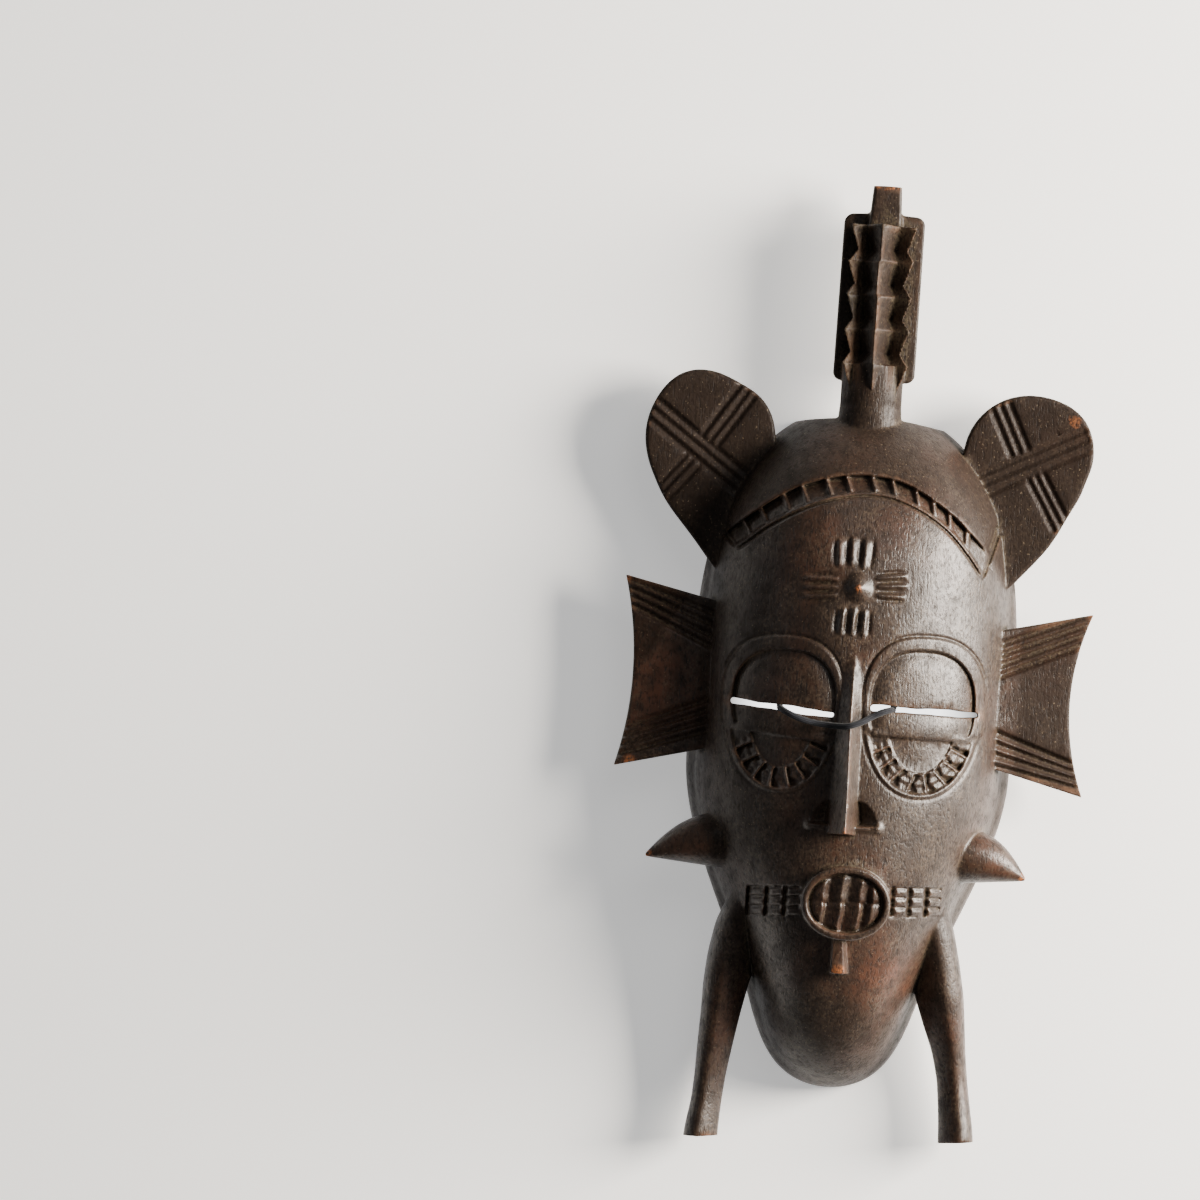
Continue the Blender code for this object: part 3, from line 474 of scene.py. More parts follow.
def egg(tables, x, y, z):
    """Distance outside the head's own form or its hollow's."""
    rows, widths, heights, width_slopes, height_slopes, top, chin = tables
    width, height = np.interp(y, rows, widths), np.interp(y, rows, heights)
    width_slope, height_slope = np.interp(y, rows, width_slopes), np.interp(y, rows, height_slopes)
    u, v = np.abs(x) / width + 1e-5, np.abs(z) / height + 1e-5
    side, front = u**SIDE_POWER, v**FRONT_POWER
    whole = side + front
    size = whole ** (1 / EGG_POWER)
    side_slope, front_slope = SIDE_POWER * side / u / width, FRONT_POWER * front / v / height
    across = np.hypot(side_slope, front_slope)
    # The distance within the slice at this height, less where the form climbs from slice to slice.
    away = (size - 1) * whole / size * EGG_POWER / across
    climb = (side_slope * u * width_slope + front_slope * v * height_slope) / across / size
    away = away / np.sqrt(1 + climb * climb)
    return np.maximum(away, np.maximum(y - top, chin - y))


# The eyes: a flat brow band over a globe of a lid, a slit right through, a lower lid that ends in a
# step, and a crescent of chip-cut blocks under it. Each eye: side, centre, half width and height of
# the brow's outer edge, the slit's two ends.
EYES = (
    (-1, (-26.4, -13.6), (21.6, 23.0), (-44.6, -15.4), (-7.1, -18.3)),
    (1, (25.3, -12.6), (22.4, 24.6), (5.9, -14.6), (45.3, -15.0)),
)
NOTCH_COUNT = 8
BLOCK_HALF, BLOCK_DROP, BLOCK_STEP = 3.7, 1.35, 0.6
CHIP_LEAST, CHIP_MOST, CHIP_DEPTH = 0.7, 3.0, 1.5
FIN_TOP, FIN_HALF = -0.15, 0.3
cuts = np.zeros_like(face)
for side, centre, half, slit_in, slit_out in EYES:
    where, x, y = window([(centre[0] - 30, centre[1] - 36), (centre[0] + 30, centre[1] + 30)], 0)
    brow = oval(x, y, centre, half, 2.5)
    lid = oval(x, y, (centre[0] - side * 0.8, centre[1] - 0.6), (half[0] - 3.0, half[1] - 4.2), 2.4)
    slit_y = np.interp(x, [slit_in[0], slit_out[0]], [slit_in[1], slit_out[1]])
    step_y = slit_y - 10.2
    upper = smooth((y - slit_y + 9.0) / 2.0)
    relief = np.zeros_like(x)
    # The band stands a little proud, with a fine cut line round it.
    band = smooth((0.6 - brow) / 0.9) * smooth((lid + 0.6) / 0.9) * upper
    relief += 0.55 * band
    relief -= 0.75 * np.exp(-((brow - 0.4) ** 2) / 0.22) * upper * smooth((y - centre[1] - 4) / 9)
    # The lid drops behind the band's inner edge and swells to the slit.
    inside = smooth((0.2 - lid) / 0.7)
    swell = np.clip(-lid / 8.0, 0, 1)
    relief += inside * upper * (-1.4 + 1.6 * (1 - (1 - swell) ** 2))
    # The lower lid is a low roll across the eye, over the step.
    lower = inside * (y < slit_y) * (y > step_y)
    roll = np.clip((y - step_y) / (slit_y - step_y), 0, 1)
    relief += lower * (1 - upper) * 0.2
    relief += inside * np.where(y < slit_y, 0.55 * np.sin(np.pi * roll) ** 0.8, 0)
    face[where] += relief
    # The half-moon under the step and its crescent of chips.
    moon_half = (half[0] - 2.4, 31.0)
    moon_centre = (centre[0] - side * 0.6, centre[1] - 1.4)
    moon = oval(x, y, moon_centre, moon_half, 2.15)
    inner = oval(x, y, moon_centre, (moon_half[0] - 6.6, moon_half[1] - 7.4), 2.1)
    under = smooth((step_y + 0.3 - y) / 0.6)
    floor_drop = np.where(inner < 0, 1.55 - 0.8 * np.clip(-inner / 9, 0, 1), 0.0)
    chips = smooth(-moon / 0.7) * smooth((inner + 0.1) / 0.5)
    face[where] -= under * smooth((0.1 - inner) / 0.5) * floor_drop
    face[where] -= under * chips * 0.55
    # A thin rail outside the chips.
    face[where] += under * 0.4 * np.exp(-((moon - 0.8) ** 2) / 0.4)
    face[where] -= under * 0.4 * np.exp(-((moon - 1.9) ** 2) / 0.3)
    course = np.array(arc(moon_centre, (moon_half[0] - 3.5, moon_half[1] - 3.9), -172, -8, 200, 2.1))
    course = course[course[:, 1] < step_y.mean() - 1.0]
    run = np.concatenate([[0], np.cumsum(np.hypot(*(course[1:] - course[:-1]).T))])
    _, share, _ = along([tuple(p) for p in course[:: max(len(course) // 28, 1)]], x, y)
    middle_line = oval(x, y, moon_centre, (moon_half[0] - 3.5, moon_half[1] - 3.9), 2.1)
    out = np.clip(middle_line / BLOCK_HALF, -1, 1)
    in_course = smooth((share - 0.005) / 0.02) * smooth((0.995 - share) / 0.02)
    # Each block is two little steps along the crescent.
    steps = BLOCK_STEP * np.abs(np.sin(np.pi * (out + 1) * 1.45)) ** 0.6
    level = -BLOCK_DROP + steps
    for i in range(NOTCH_COUNT):
        at = (i + 0.62 + random.uniform(-0.05, 0.05)) / NOTCH_COUNT
        slant = random.uniform(-0.5, 0.5)
        after = (share - at) * run[-1] - slant * out
        # A chip from each end of the wall, wide at the crescent's edges and fine in its middle.
        reach = CHIP_LEAST + (CHIP_MOST - CHIP_LEAST) * np.abs(out) ** 0.8
        chip = np.clip(1 - after / reach, 0, 1) * (after > 0)
        level = np.minimum(level, -BLOCK_DROP - CHIP_DEPTH * chip + 9 * (chip <= 0))
        level = np.maximum(level, FIN_TOP - 9 * np.clip((np.abs(after + FIN_HALF) - FIN_HALF) / 0.8, 0, 1))
    shown = under * chips * in_course
    cuts[where] = np.where(shown > 0.02, shown * (level + 0.55), cuts[where])
face += cuts

# The hair's edge: the cap steps down to a channel of little square pits with thin walls between
# them, over a fine double rail. At the temples the channel turns up beside the ears.
RAIL = (
    ((-46.5, 39.5), (-42.3, 42.7), (-33.6, 49.6), (-20.1, 57.1), (-6.4, 61.2))
    + ((6.2, 61.7), (18.3, 57.9), (29.3, 51.0), (37.5, 42.6), (43.7, 34.6))
)
CAP_EDGE = (
    ((-50.1, 45.7), (-40.9, 53.3), (-27.5, 62.6), (-13.8, 67.7), (0.1, 69.3))
    + ((14.2, 66.8), (28.8, 58.6), (37.0, 51.8), (43.6, 45.4), (44.6, 43.6))
)
EDGE_POINTS = 60
PIT_DEPTH = 2.1
WALL_COUNT, WALL_FIRST, WALL_SPAN = 12, 0.075, 0.83


def curve_through(points, count):
    """Evenly spread points on a smooth curve through a few."""
    points = [Vector((*p, 0)) for p in points]
    fine = smooth_route(points, 0.01)
    fine = np.array([(p.x, p.y) for p in fine])
    run = np.concatenate([[0], np.cumsum(np.hypot(*(fine[1:] - fine[:-1]).T))])
    where = np.linspace(0, run[-1], count)
    return np.stack([np.interp(where, run, fine[:, 0]), np.interp(where, run, fine[:, 1])], 1)


rail = curve_through(RAIL, EDGE_POINTS)
cap_edge = curve_through(CAP_EDGE, EDGE_POINTS)
where, x, y = window(np.concatenate([rail, cap_edge]), 24)
rail_away, rail_share, rail_side = along(rail, x, y)
cap_away, cap_share, cap_side = along(cap_edge, x, y)
# Both paths run to the right, so that their left side is towards the crest.
above_rail = rail_away * rail_side
above_cap = cap_away * cap_side
ends_fade = smooth(np.minimum(rail_share, 1 - rail_share) / 0.02)
channel = smooth((above_rail - 1.5) / 0.5) * smooth((-above_cap + 0.1) / 0.5) * ends_fade
channeled = np.zeros_like(face)
channeled[where] = channel
# The floor of the channel is deepest against the cap and rises to the rail.
depth_share = np.clip((above_rail - 1.5) / np.maximum(above_rail - above_cap - 1.5, 0.5), 0, 1)
pits = channel * (PIT_DEPTH * (0.55 + 0.45 * depth_share)) * (1 - 0.65 * smooth((x - 32) / 12))
walls = np.zeros_like(pits)
for i in range(WALL_COUNT):
    t = WALL_FIRST + WALL_SPAN * i / (WALL_COUNT - 1)
    foot = rail[int(t * (EDGE_POINTS - 1))]
    head = cap_edge[int(t * (EDGE_POINTS - 1))]
    away, share, _ = along([tuple(foot), tuple(head)], x, y)
    thick = 0.72 + 0.12 * random.uniform(-1, 1)
    walls = np.maximum(walls, smooth((thick + 0.35 - away) / 0.5) * smooth((share + 0.02) / 0.1))
face[where] -= pits * (1 - 0.9 * walls)
cap_rise = smooth((above_cap + 0.3) / 0.5) * np.clip(1 - above_cap / 20, 0, 1) ** 1.5 * (above_cap > -0.5)
face[where] += 0.9 * cap_rise * smooth(np.minimum(cap_share, 1 - cap_share) / 0.03)
for offset, size in ((-0.1, -1.15), (0.75, 0.5), (1.55, -0.7), (-1.2, 0.2)):
    face[where] += ends_fade * size * np.exp(-((above_rail - offset) ** 2) / 0.14)
# The turned-up ends.
for outline in (
    ((43.8, 36.6), (47.6, 45.8), (49.4, 54.2), (46.6, 51.0), (44.5, 45.2)),
    ((-47.0, 42.0), (-51.6, 47.0), (-50.9, 51.5), (-46.5, 48.0)),
):
    hub = np.mean(outline, 0)
    loop = [tuple(p) for p in outline] + [tuple(outline[0])]
    where, x, y = window(outline, 4)
    away, _, _ = along(loop, x, y)
    inside = np.ones_like(x, bool)
    for (ax, ay), (bx, by) in zip(loop, loop[1:]):
        sign = (bx - ax) * (hub[1] - ay) - (by - ay) * (hub[0] - ax)
        inside &= ((bx - ax) * (y - ay) - (by - ay) * (x - ax)) * sign > 0
    face[where] -= np.where(inside, 0.8 * smooth(away / 1.2), 0) * (1 - channeled[where])
    face[where] += 0.2 * np.exp(-(away**2) / 0.4)
for line in (
    ((43.4, 34.2), (47.0, 44.8), (49.9, 54.6)),
    ((45.2, 44.2), (46.9, 49.6), (48.4, 54.8)),
    ((-46.6, 40.6), (-52.2, 47.2), (-51.2, 53.0)),
):
    gouge(face, line, 1.9, 1.5, ends=0.1)

# The forehead's marks: a pointed boss, and three raised scars on each of its four sides.
BOSS = (-1.5, 28.4)
BOSS_RADIUS, BOSS_RISE = 5.6, 3.6
where, x, y = window([BOSS], 14)
from_boss = np.hypot(x - BOSS[0], (y - BOSS[1]) * 0.94)
SCARS = (
    [((-8.6, 35.4), (-8.8, 46.0)), ((-4.2, 36.2), (-4.0, 46.8)), ((0.2, 35.0), (0.9, 46.6))]
    + [((-6.6, 20.6), (-7.2, 10.6)), ((-2.6, 21.4), (-3.4, 10.9)), ((1.2, 20.8), (0.9, 10.5))]
    + [((4.4, 32.2), (16.0, 33.8)), ((4.9, 29.3), (16.4, 30.2)), ((4.9, 26.0), (15.9, 26.1))]
    + [((-8.8, 31.2), (-21.6, 30.6)), ((-8.8, 28.4), (-21.4, 27.2)), ((-8.8, 25.6), (-21.4, 23.6))]
)
# The upright scars come first, then the level ones: the way to the cuts beside a scar, their
# distance and width, and the ridge's width, rise and lean.
UPRIGHT_SCARS = 6
UPRIGHT = ((1.0, 0.0), 2.1, 2.4, 3.3, 1.05, 0.3)
LEVEL = ((0.0, 1.0), 1.55, 1.9, 2.7, 1.0, 0.0)
SCAR_CUT_DEPTH = 0.85
for i, (start, end) in enumerate(SCARS):
    middle = (np.array(start) + np.array(end)) / 2
    push, distance, cut_width, _, _, _ = UPRIGHT if i < UPRIGHT_SCARS else LEVEL
    for sign in (-1, 1):
        shift = np.array(push) * sign * distance
        path = [tuple(start + shift), tuple(middle + shift * 1.04), tuple(end + shift)]
        gouge(face, path, cut_width, SCAR_CUT_DEPTH, ends=0.3)
for i, scar in enumerate(SCARS):
    _, _, _, ridge_width, rise, lean = UPRIGHT if i < UPRIGHT_SCARS else LEVEL
    ridge(face, scar, ridge_width, rise, lean=lean, round_ends=0.35)
BOSS_EDGE = 1.2
around_boss = face[where] * smooth((from_boss - BOSS_RADIUS) / BOSS_EDGE)
boss_cone = BOSS_RISE * np.clip(1 - from_boss / BOSS_RADIUS, 0, 1) ** 1.15
boss_top = np.maximum(around_boss, boss_cone)
face[where] = np.where(from_boss < BOSS_RADIUS + BOSS_EDGE, boss_top, face[where])
face[where] = np.minimum(face[where], BOSS_RISE * 0.86)

# The cheeks' marks: three by three small blocks each side of the mouth, each with a nick on its left.
for side, corner_x, corner_y, slope, wide in ((1, 17.6, -78.9, 0.02, 6.3), (-1, -34.2, -82.2, 0.07, 6.5)):
    where, x, y = window([(corner_x - 2, corner_y - 16), (corner_x + 22, corner_y + 4)], 0)
    u = (x - corner_x) / wide
    v = -(y - corner_y - slope * (x - corner_x)) / 3.6
    column, row = np.floor(u), np.floor(v)
    inside = (u > 0) & (u < 3) & (v > 0) & (v < 3)
    fu, fv = u - column, v - row
    pillow = np.clip(np.minimum(fu / 0.30, (1 - fu) / 0.10), 0, 1)
    pillow = pillow * np.clip(np.minimum(fv / 0.45, (1 - fv) / 0.12), 0, 1)
    level = -1.05 + 1.25 * pillow
    nick = np.clip(1 - fu / 0.42 - np.abs(fv - 0.5) / 0.8, 0, 1)
    level -= 1.7 * nick * (1.0 if side > 0 else 0.5)
    level = np.where(fu > 0.93, 0.1, level)
    face[where] = np.where(inside, face[where] + level * (1.0 if side > 0 else 1.3), face[where])

# The mouth: an oval boss with a round rim, and sunk in it two rows of teeth as upright roofs, each
# with a wide left side and a narrow right one.
MOUTH, MOUTH_HALF, RIM_WIDTH = (1.5, -86.0), (16.1, 13.4), 2.3
MOUTH_FRONT, MOUTH_TILT, MOUTH_BOW = 62.4, 0.15, 0.004
BITE_Y, BITE_TILT = -85.6, 0.035
where, x, y = window([MOUTH], 22)
inner = oval(x, y, MOUTH, (MOUTH_HALF[0] - RIM_WIDTH, MOUTH_HALF[1] - RIM_WIDTH - 0.3), 2.05)
bite = y - BITE_Y - BITE_TILT * (x - MOUTH[0]) - 0.25 * np.sin(x / 2.1)
teeth = np.zeros_like(x)
for row, valleys, peaks in (
    (bite > 0, (-13.5, -4.6, 2.7, 9.4, 16.5), (-6.5, 0.0, 6.9, 11.6)),
    (bite <= 0, (-13.5, -6.1, 0.7, 7.5, 16.5), (-7.3, -0.6, 6.2, 10.4)),
):
    knots, levels = [valleys[0]], [0.35]
    for peak, valley in zip(peaks, valleys[1:]):
        knots += [peak, valley]
        levels += [1.0, 0.0]
    teeth = np.where(row, np.interp(x + 0.45 * np.sin(y / 2.3 + peaks[0]), knots, levels), teeth)
rows_fall = 0.5 * np.clip(1 - np.abs(bite) / 1.3, 0, 1)
sunk = -2.9 + 2.3 * teeth * np.clip(-inner / 1.6, 0.35, 1) - rows_fall
slab[where] = np.where(inner < 0.4, sunk * smooth((0.35 - inner) / 0.7), slab[where])
BAR_X, BAR_HALF, BAR_TOP, BAR_END, BAR_FRONT, BAR_TILT = -0.2, 2.0, -98.0, -111.6, 56.8, 0.19
BAR_Y = -105
MOUTH_BACK = 40


def mouth(x, y, z):
    """The boss with its rim and teeth, and the bar under it, with a flat front and a slanting side."""
    lip = oval(x, y, MOUTH, MOUTH_HALF, 2.05)
    plane = MOUTH_FRONT + MOUTH_TILT * (y - MOUTH[1]) - MOUTH_BOW * (x - MOUTH[0]) ** 2
    height = z - plane - look_up(slab, x, y)
    boss = np.maximum(slab_between(lip, height, 1.0), MOUTH_BACK - z)
    bar_x = x - BAR_X + 0.02 * (y - BAR_Y)
    right, left = bar_x - BAR_HALF + 0.35 * (z - BAR_FRONT), -bar_x - BAR_HALF + 0.05 * (z - BAR_FRONT)
    outline = np.maximum(np.maximum(right, left), np.maximum(BAR_END - y, y - BAR_TOP))
    bar = slab_between(outline, z - BAR_FRONT - BAR_TILT * (y - BAR_Y), 0.35)
    return np.minimum(boss, np.maximum(bar, MOUTH_BACK - z))


# The nose, and the notch beside each nostril, which falls from a curved edge towards the nose, over
# a flared sill.
NOSE_X, NOSE_TOP, NOSE_TIP, NOSE_TOP_Z, NOSE_TIP_Z = -1.1, 4.4, -61.0, 62.1, 76.2
NOSE_FOOT_Z, NOSE_LEFT, NOSE_RIGHT, NOSE_BACK = 60.6, 6.0, 5.0, 50
NOSTRIL_SILL, NOSTRIL_TOP = -57.6, -48.8
for side, foot, wide, depth in ((1, 3.3, 7.8, 6.4), (-1, 6.2, 7.6, 4.6)):
    where, x, y = window([(side * foot, NOSTRIL_SILL), (side * (foot + wide), NOSTRIL_TOP)], 5)
    out = x * side - foot
    up = np.clip((y - NOSTRIL_SILL) / (NOSTRIL_TOP - NOSTRIL_SILL), 0, 1)
    edge = wide * np.sqrt(1 - up**1.7)
    fall = np.clip((edge - out) / wide, 0, 1.15)
    drop = depth * fall * smooth((y - NOSTRIL_SILL + 0.3) / 0.9) * (y < NOSTRIL_TOP)
    sill = np.exp(-((y - NOSTRIL_SILL + 1.0) ** 2) / 1.1) * smooth((wide + 2.2 - out) / 1.6)
    sill = sill * smooth((out + 3) / 2)
    wing_tip = np.exp(-((out - wide) ** 2 + (y - NOSTRIL_SILL + 0.2) ** 2) / 2.6)
    face[where] += 1.1 * sill + 0.9 * wing_tip - drop

# The face is a little keeled down its middle.
KEEL_FALL, KEEL_REACH = 2.0, 34.0

# The hand of the carver: shallow adze facets all over, and a slow unevenness.
FACET_SPACING, FACET_DEPTH = (13.0, 21.0), 0.16
PLATE_FACET_SPACING, PLATE_FACET_DEPTH = (11.0, 15.0), 0.14


def hand_cut(x, y, spacing, depth, seed):
    """Shallow scallops side by side, longer than wide, that meet in soft ridges."""
    draw = np.random.default_rng(seed)
    u, v = x / spacing[0], y / spacing[1]
    column, row = np.floor(u).astype(int), np.floor(v).astype(int)
    offsets = draw.random((2, 64, 64))
    best = np.full_like(x, 9.0)
    for i in (-1, 0, 1):
        for j in (-1, 0, 1):
            du = column + i + offsets[0, (column + i) % 64, (row + j) % 64] - u
            dv = row + j + offsets[1, (column + i) % 64, (row + j) % 64] - v
            best = np.minimum(best, du * du + dv * dv)
    return depth * (best - 0.35)


face = blur(face, 2)
face -= KEEL_FALL * smooth(np.abs(map_x - NOSE_X) / KEEL_REACH) * smooth((60 - map_y) / 40)
face += hand_cut(map_x, map_y, FACET_SPACING, FACET_DEPTH, 3)
swells = 0.22 * np.sin(map_x / 9.0 + 1.3) * np.sin(map_y / 14.0 + 0.4)
face += swells + 0.12 * np.sin(map_x / 5.1 - map_y / 7.3)

# The ears' bands: three cuts side by side across each, and three more that meet them from both
# sides. The wings' bands: four cuts along the top and four along the bottom of each.
for bands in (
    (((-81.5, 89.9), (-42.0, 61.0)), ((-45.4, 98.6), (-59.0, 78.2)), ((-62.6, 73.2), (-75.5, 57.8))),
    (((36.0, 65.7), (81.0, 88.6)), ((46.4, 98.6), (55.2, 80.6)), ((59.8, 75.6), (72.2, 54.6))),
):
    for (start, end), spacing in zip(bands, (3.7, 3.3, 3.0)):
        start, end = np.array(start), np.array(end)
        normal = np.array((start[1] - end[1], end[0] - start[0])) / np.hypot(*(end - start))
        for i in (-1, 0, 1):
            shift = normal * spacing * i + random.uniform(-0.15, 0.15, 2)
            bow = normal * random.uniform(-0.25, 0.25)
            path = [tuple(start + shift), tuple((start + end) / 2 + shift + bow), tuple(end + shift)]
            gouge(slab, path, spacing, 1.0, lean=0.1, ends=0.03, blunt=0.12)
WING_CUTS = (
    (((-87.0, 27.2), (-48.0, 14.4)), ((-84.0, 17.8), (-48.0, 1.4))),
    (((-84.0, -28.4), (-48.0, -13.6)), ((-88.0, -38.9), (-48.0, -25.4))),
    (((87.0, 25.0), (48.0, 9.3)), ((83.0, 13.2), (48.0, -2.4))),
    (((82.5, -31.4), (48.0, -19.5)), ((86.0, -40.0), (48.0, -32.3))),
)
for first, last in WING_CUTS:
    for t in (0, 1 / 3, 2 / 3, 1):
        path = [tuple(np.array(a) * (1 - t) + np.array(b) * t) for a, b in zip(first, last)]
        gouge(slab, path, 3.5, 1.9, lean=-0.15, ends=0.04)
slab = blur(slab, 2)
slab += hand_cut(map_x, map_y, PLATE_FACET_SPACING, PLATE_FACET_DEPTH, 5)


def join(a, b, fillet):
    """Two solids as one, with a hollow corner of about that radius where they meet."""
    blend = np.maximum(fillet - np.abs(a - b), 0) / fillet
    return np.minimum(a, b) - blend * blend * fillet / 4


def cut(a, b, edge=0.4):
    """One solid less another, with a slightly worn edge."""
    blend = np.maximum(edge - np.abs(a + b), 0) / edge
    return np.maximum(a, -b) + blend * blend * edge / 4


def slab_between(outline, height, edge):
    """A plate from its outline's distance and its height's, with rounded edges."""
    out, up = outline + edge, height + edge
    return np.minimum(np.maximum(out, up), 0) + np.hypot(np.maximum(out, 0), np.maximum(up, 0)) - edge


EAR_RADIUS, EAR_ROOT, EAR_ROOT_RADIUS = 23.7, (42.5, 43.0), 15.0
EAR_CENTRES = {-1: (58.3, 80.3), 1: (58.2, 79.0)}
EAR_MIDDLE, EAR_HALF = 18.5, 3.5
# Where each ear is fuller or flatter than a true disc: the direction, by how much, and how widely.
EAR_SWELLS = {
    -1: ((62, 1.5, 26), (115, -1.5, 24), (-60, 2.5, 28)),
    1: ((40, 1.6, 28), (-18, -1.2, 18), (-76, 2.4, 22)),
}


def ear(side, x, y, z):
    """A round paddle: a disc, drawn in to a smaller one that the head buries."""
    ax, ay = EAR_CENTRES[side]
    dx, dy = EAR_ROOT[0] - ax, EAR_ROOT[1] - ay
    length = math.hypot(dx, dy)
    dx, dy = dx / length, dy / length
    u = np.abs((x * side - ax) * -dy + (y - ay) * dx)
    v = (x * side - ax) * dx + (y - ay) * dy
    lean = (EAR_RADIUS - EAR_ROOT_RADIUS) / length
    flat = math.sqrt(1 - lean * lean)
    k = -lean * u + flat * v
    root, sides = np.hypot(u, v - length) - EAR_ROOT_RADIUS, u * flat + v * lean - EAR_RADIUS
    outline = np.where(k < 0, np.hypot(u, v) - EAR_RADIUS, np.where(k > flat * length, root, sides))
    turn = np.degrees(np.arctan2(y - ay, x * side - ax))
    for direction, swell, width in EAR_SWELLS[side]:
        outline = outline - swell * np.exp(-(((turn - direction) / width) ** 2))
    height = z - EAR_MIDDLE
    height = np.where(height > 0, height - look_up(slab, x, y), -height) - EAR_HALF
    return slab_between(outline, height, 1.3)


WING_REACH, WING_ROOT, WING_Z, WING_HALF, WING_FALL = 85.7, 48.0, 26.0, 3.0, 0.158
WINGS = {-1: (27.8, -42.0, 19.5, -32.5, 4.8), 1: (24.3, -42.6, 15.3, -33.0, 6.6)}


def wing(side, x, y, z):
    """A plate with straight upper and lower edges and a hollow outer one, that leans back."""
    top, bottom, root_top, root_bottom, hollow = WINGS[side]
    reach = x * side
    share = (y - bottom) / (top - bottom)
    edge = reach - (WING_REACH - 4 * hollow * share * (1 - share))
    rise = (top - root_top) / (WING_REACH - WING_ROOT)
    fall = (bottom - root_bottom) / (WING_REACH - WING_ROOT)
    over = (y - root_top - rise * (reach - WING_ROOT)) / math.hypot(1, rise)
    under = (root_bottom + fall * (reach - WING_ROOT) - y) / math.hypot(1, fall)
    outline = np.maximum(np.maximum(over, under), edge * 0.97)
    height = (z - WING_Z + WING_FALL * (reach - WING_ROOT)) * 0.985
    height = np.where(height > 0, height - look_up(slab, x, y), -height) - WING_HALF
    return slab_between(outline, height, 0.8)


SPIKE_BASE, SPIKE_RADIUS = (44.0, -66.5, 27.0), 9.8
SPIKE_TIPS = {-1: (71.9, -73.7, 30.0), 1: (66.7, -73.7, 30.0)}


def cheek_spike(side, x, y, z):
    """A thorn that is round and full at the cheek and drawn to a point."""
    tip = SPIKE_TIPS[side]
    base = np.array(SPIKE_BASE)
    axis = np.array(tip) - base
    length = np.linalg.norm(axis)
    axis /= length
    px, py, pz = x * side - base[0], y - base[1], z - base[2]
    run = px * axis[0] + py * axis[1] + pz * axis[2]
    share = np.clip(run / length, 0, 1)
    bend = 1.6 * np.sin(np.pi * share)
    off_x, off_y, off_z = px - axis[0] * run, py - axis[1] * run - bend, pz - axis[2] * run
    radius = SPIKE_RADIUS * (1 - share**1.7) + 0.5
    round_away = np.sqrt(off_x**2 + off_y**2 + off_z**2)
    return np.maximum((round_away - radius) * 0.86, run - length)


LEGS = {
    -1: (
        (-85.0, 30.0, 10.0, 24.0),
        (-96.0, 34.5, 10.2, 22.5),
        (-108.0, 37.7, 9.2, 20.5),
        (-119.0, 39.5, 8.3, 19.0),
        (-129.0, 40.6, 7.3, 17.5),
        (-141.0, 41.9, 6.5, 16.0),
        (-153.0, 43.0, 5.7, 14.5),
        (-162.0, 43.7, 5.6, 14.0),
        (-169.0, 44.6, 6.0, 14.0),
        (-175.3, 45.1, 6.3, 14.0),
    ),
    1: (
        (-85.0, 30.0, 9.6, 24.0),
        (-96.0, 33.5, 9.4, 22.5),
        (-108.0, 36.7, 9.0, 20.5),
        (-119.0, 38.8, 9.0, 19.0),
        (-129.0, 41.1, 7.7, 17.5),
        (-139.0, 43.6, 6.2, 16.0),
        (-149.0, 45.5, 5.6, 14.5),
        (-159.0, 46.9, 5.9, 14.0),
        (-166.0, 47.8, 6.3, 14.0),
        (-171.7, 48.3, 6.5, 14.0),
    ),
}


def leg_table(rows):
    """The leg's own numbers at every quarter millimetre, smoothed as a knife stroke smooths them."""
    rows = np.array(rows)[::-1]
    y = np.arange(rows[0, 0] - 4, rows[-1, 0] + 4, CELL)
    columns = []
    for i in (1, 2, 3):
        value = np.interp(y, rows[:, 0], rows[:, i])
        padded = np.pad(value, 12, mode="edge")
        columns.append(np.convolve(padded, np.ones(25) / 25, "valid"))
    return y, columns, rows[0, 0]


LEG_TABLES = {side: leg_table(rows) for side, rows in LEGS.items()}


def leg(side, x, y, z):
    """A tapering leg with a flat sole, its front a little keeled where two knife facets meet."""
    rows, (middles, halves, heights), sole = LEG_TABLES[side]
    middle, half, height = (np.interp(y, rows, column) for column in (middles, halves, heights))
    u, v = (x * side - middle) / half, (z - height) / (half * 1.05)
    power = np.where(v > 0, 1.6, 2.2)
    u = u - 0.22 * smooth(v)
    size = (np.abs(u) ** power + np.abs(v) ** power) ** (1 / power)
    away = (size - 1) * half * 0.9
    sole_line = sole - y + 0.10 * (x * side - middle) * side
    return np.maximum(away, sole_line)


NECK_X, NECK_Z, NECK_HALF, NECK_TOP = -0.7, 23.5, (11.2, 10.0), 110.0
PLATE_BOTTOM, PLATE_TOP, PLATE_HALF, PLATE_BACK, PLATE_FRONT = 104.0, 165.4, 14.8, 14.0, 21.5
PEG_X, PEG_TOP, PEG_HALF, PEG_BACK, PEG_FRONT = 0.3, 175.4, 5.4, 17.0, 27.0
THORN_FIRST, THORN_PITCH, THORN_ROWS = 110.0, 12.5, 5
THORN_SIDE, THORN_MIDDLE = (12.0, 32.4), (-1.2, 36.6)
THORN_LOW_SHARE = 0.66
THORN_TOP = THORN_FIRST + THORN_PITCH * (THORN_ROWS - 1)
CREST_Y = 135


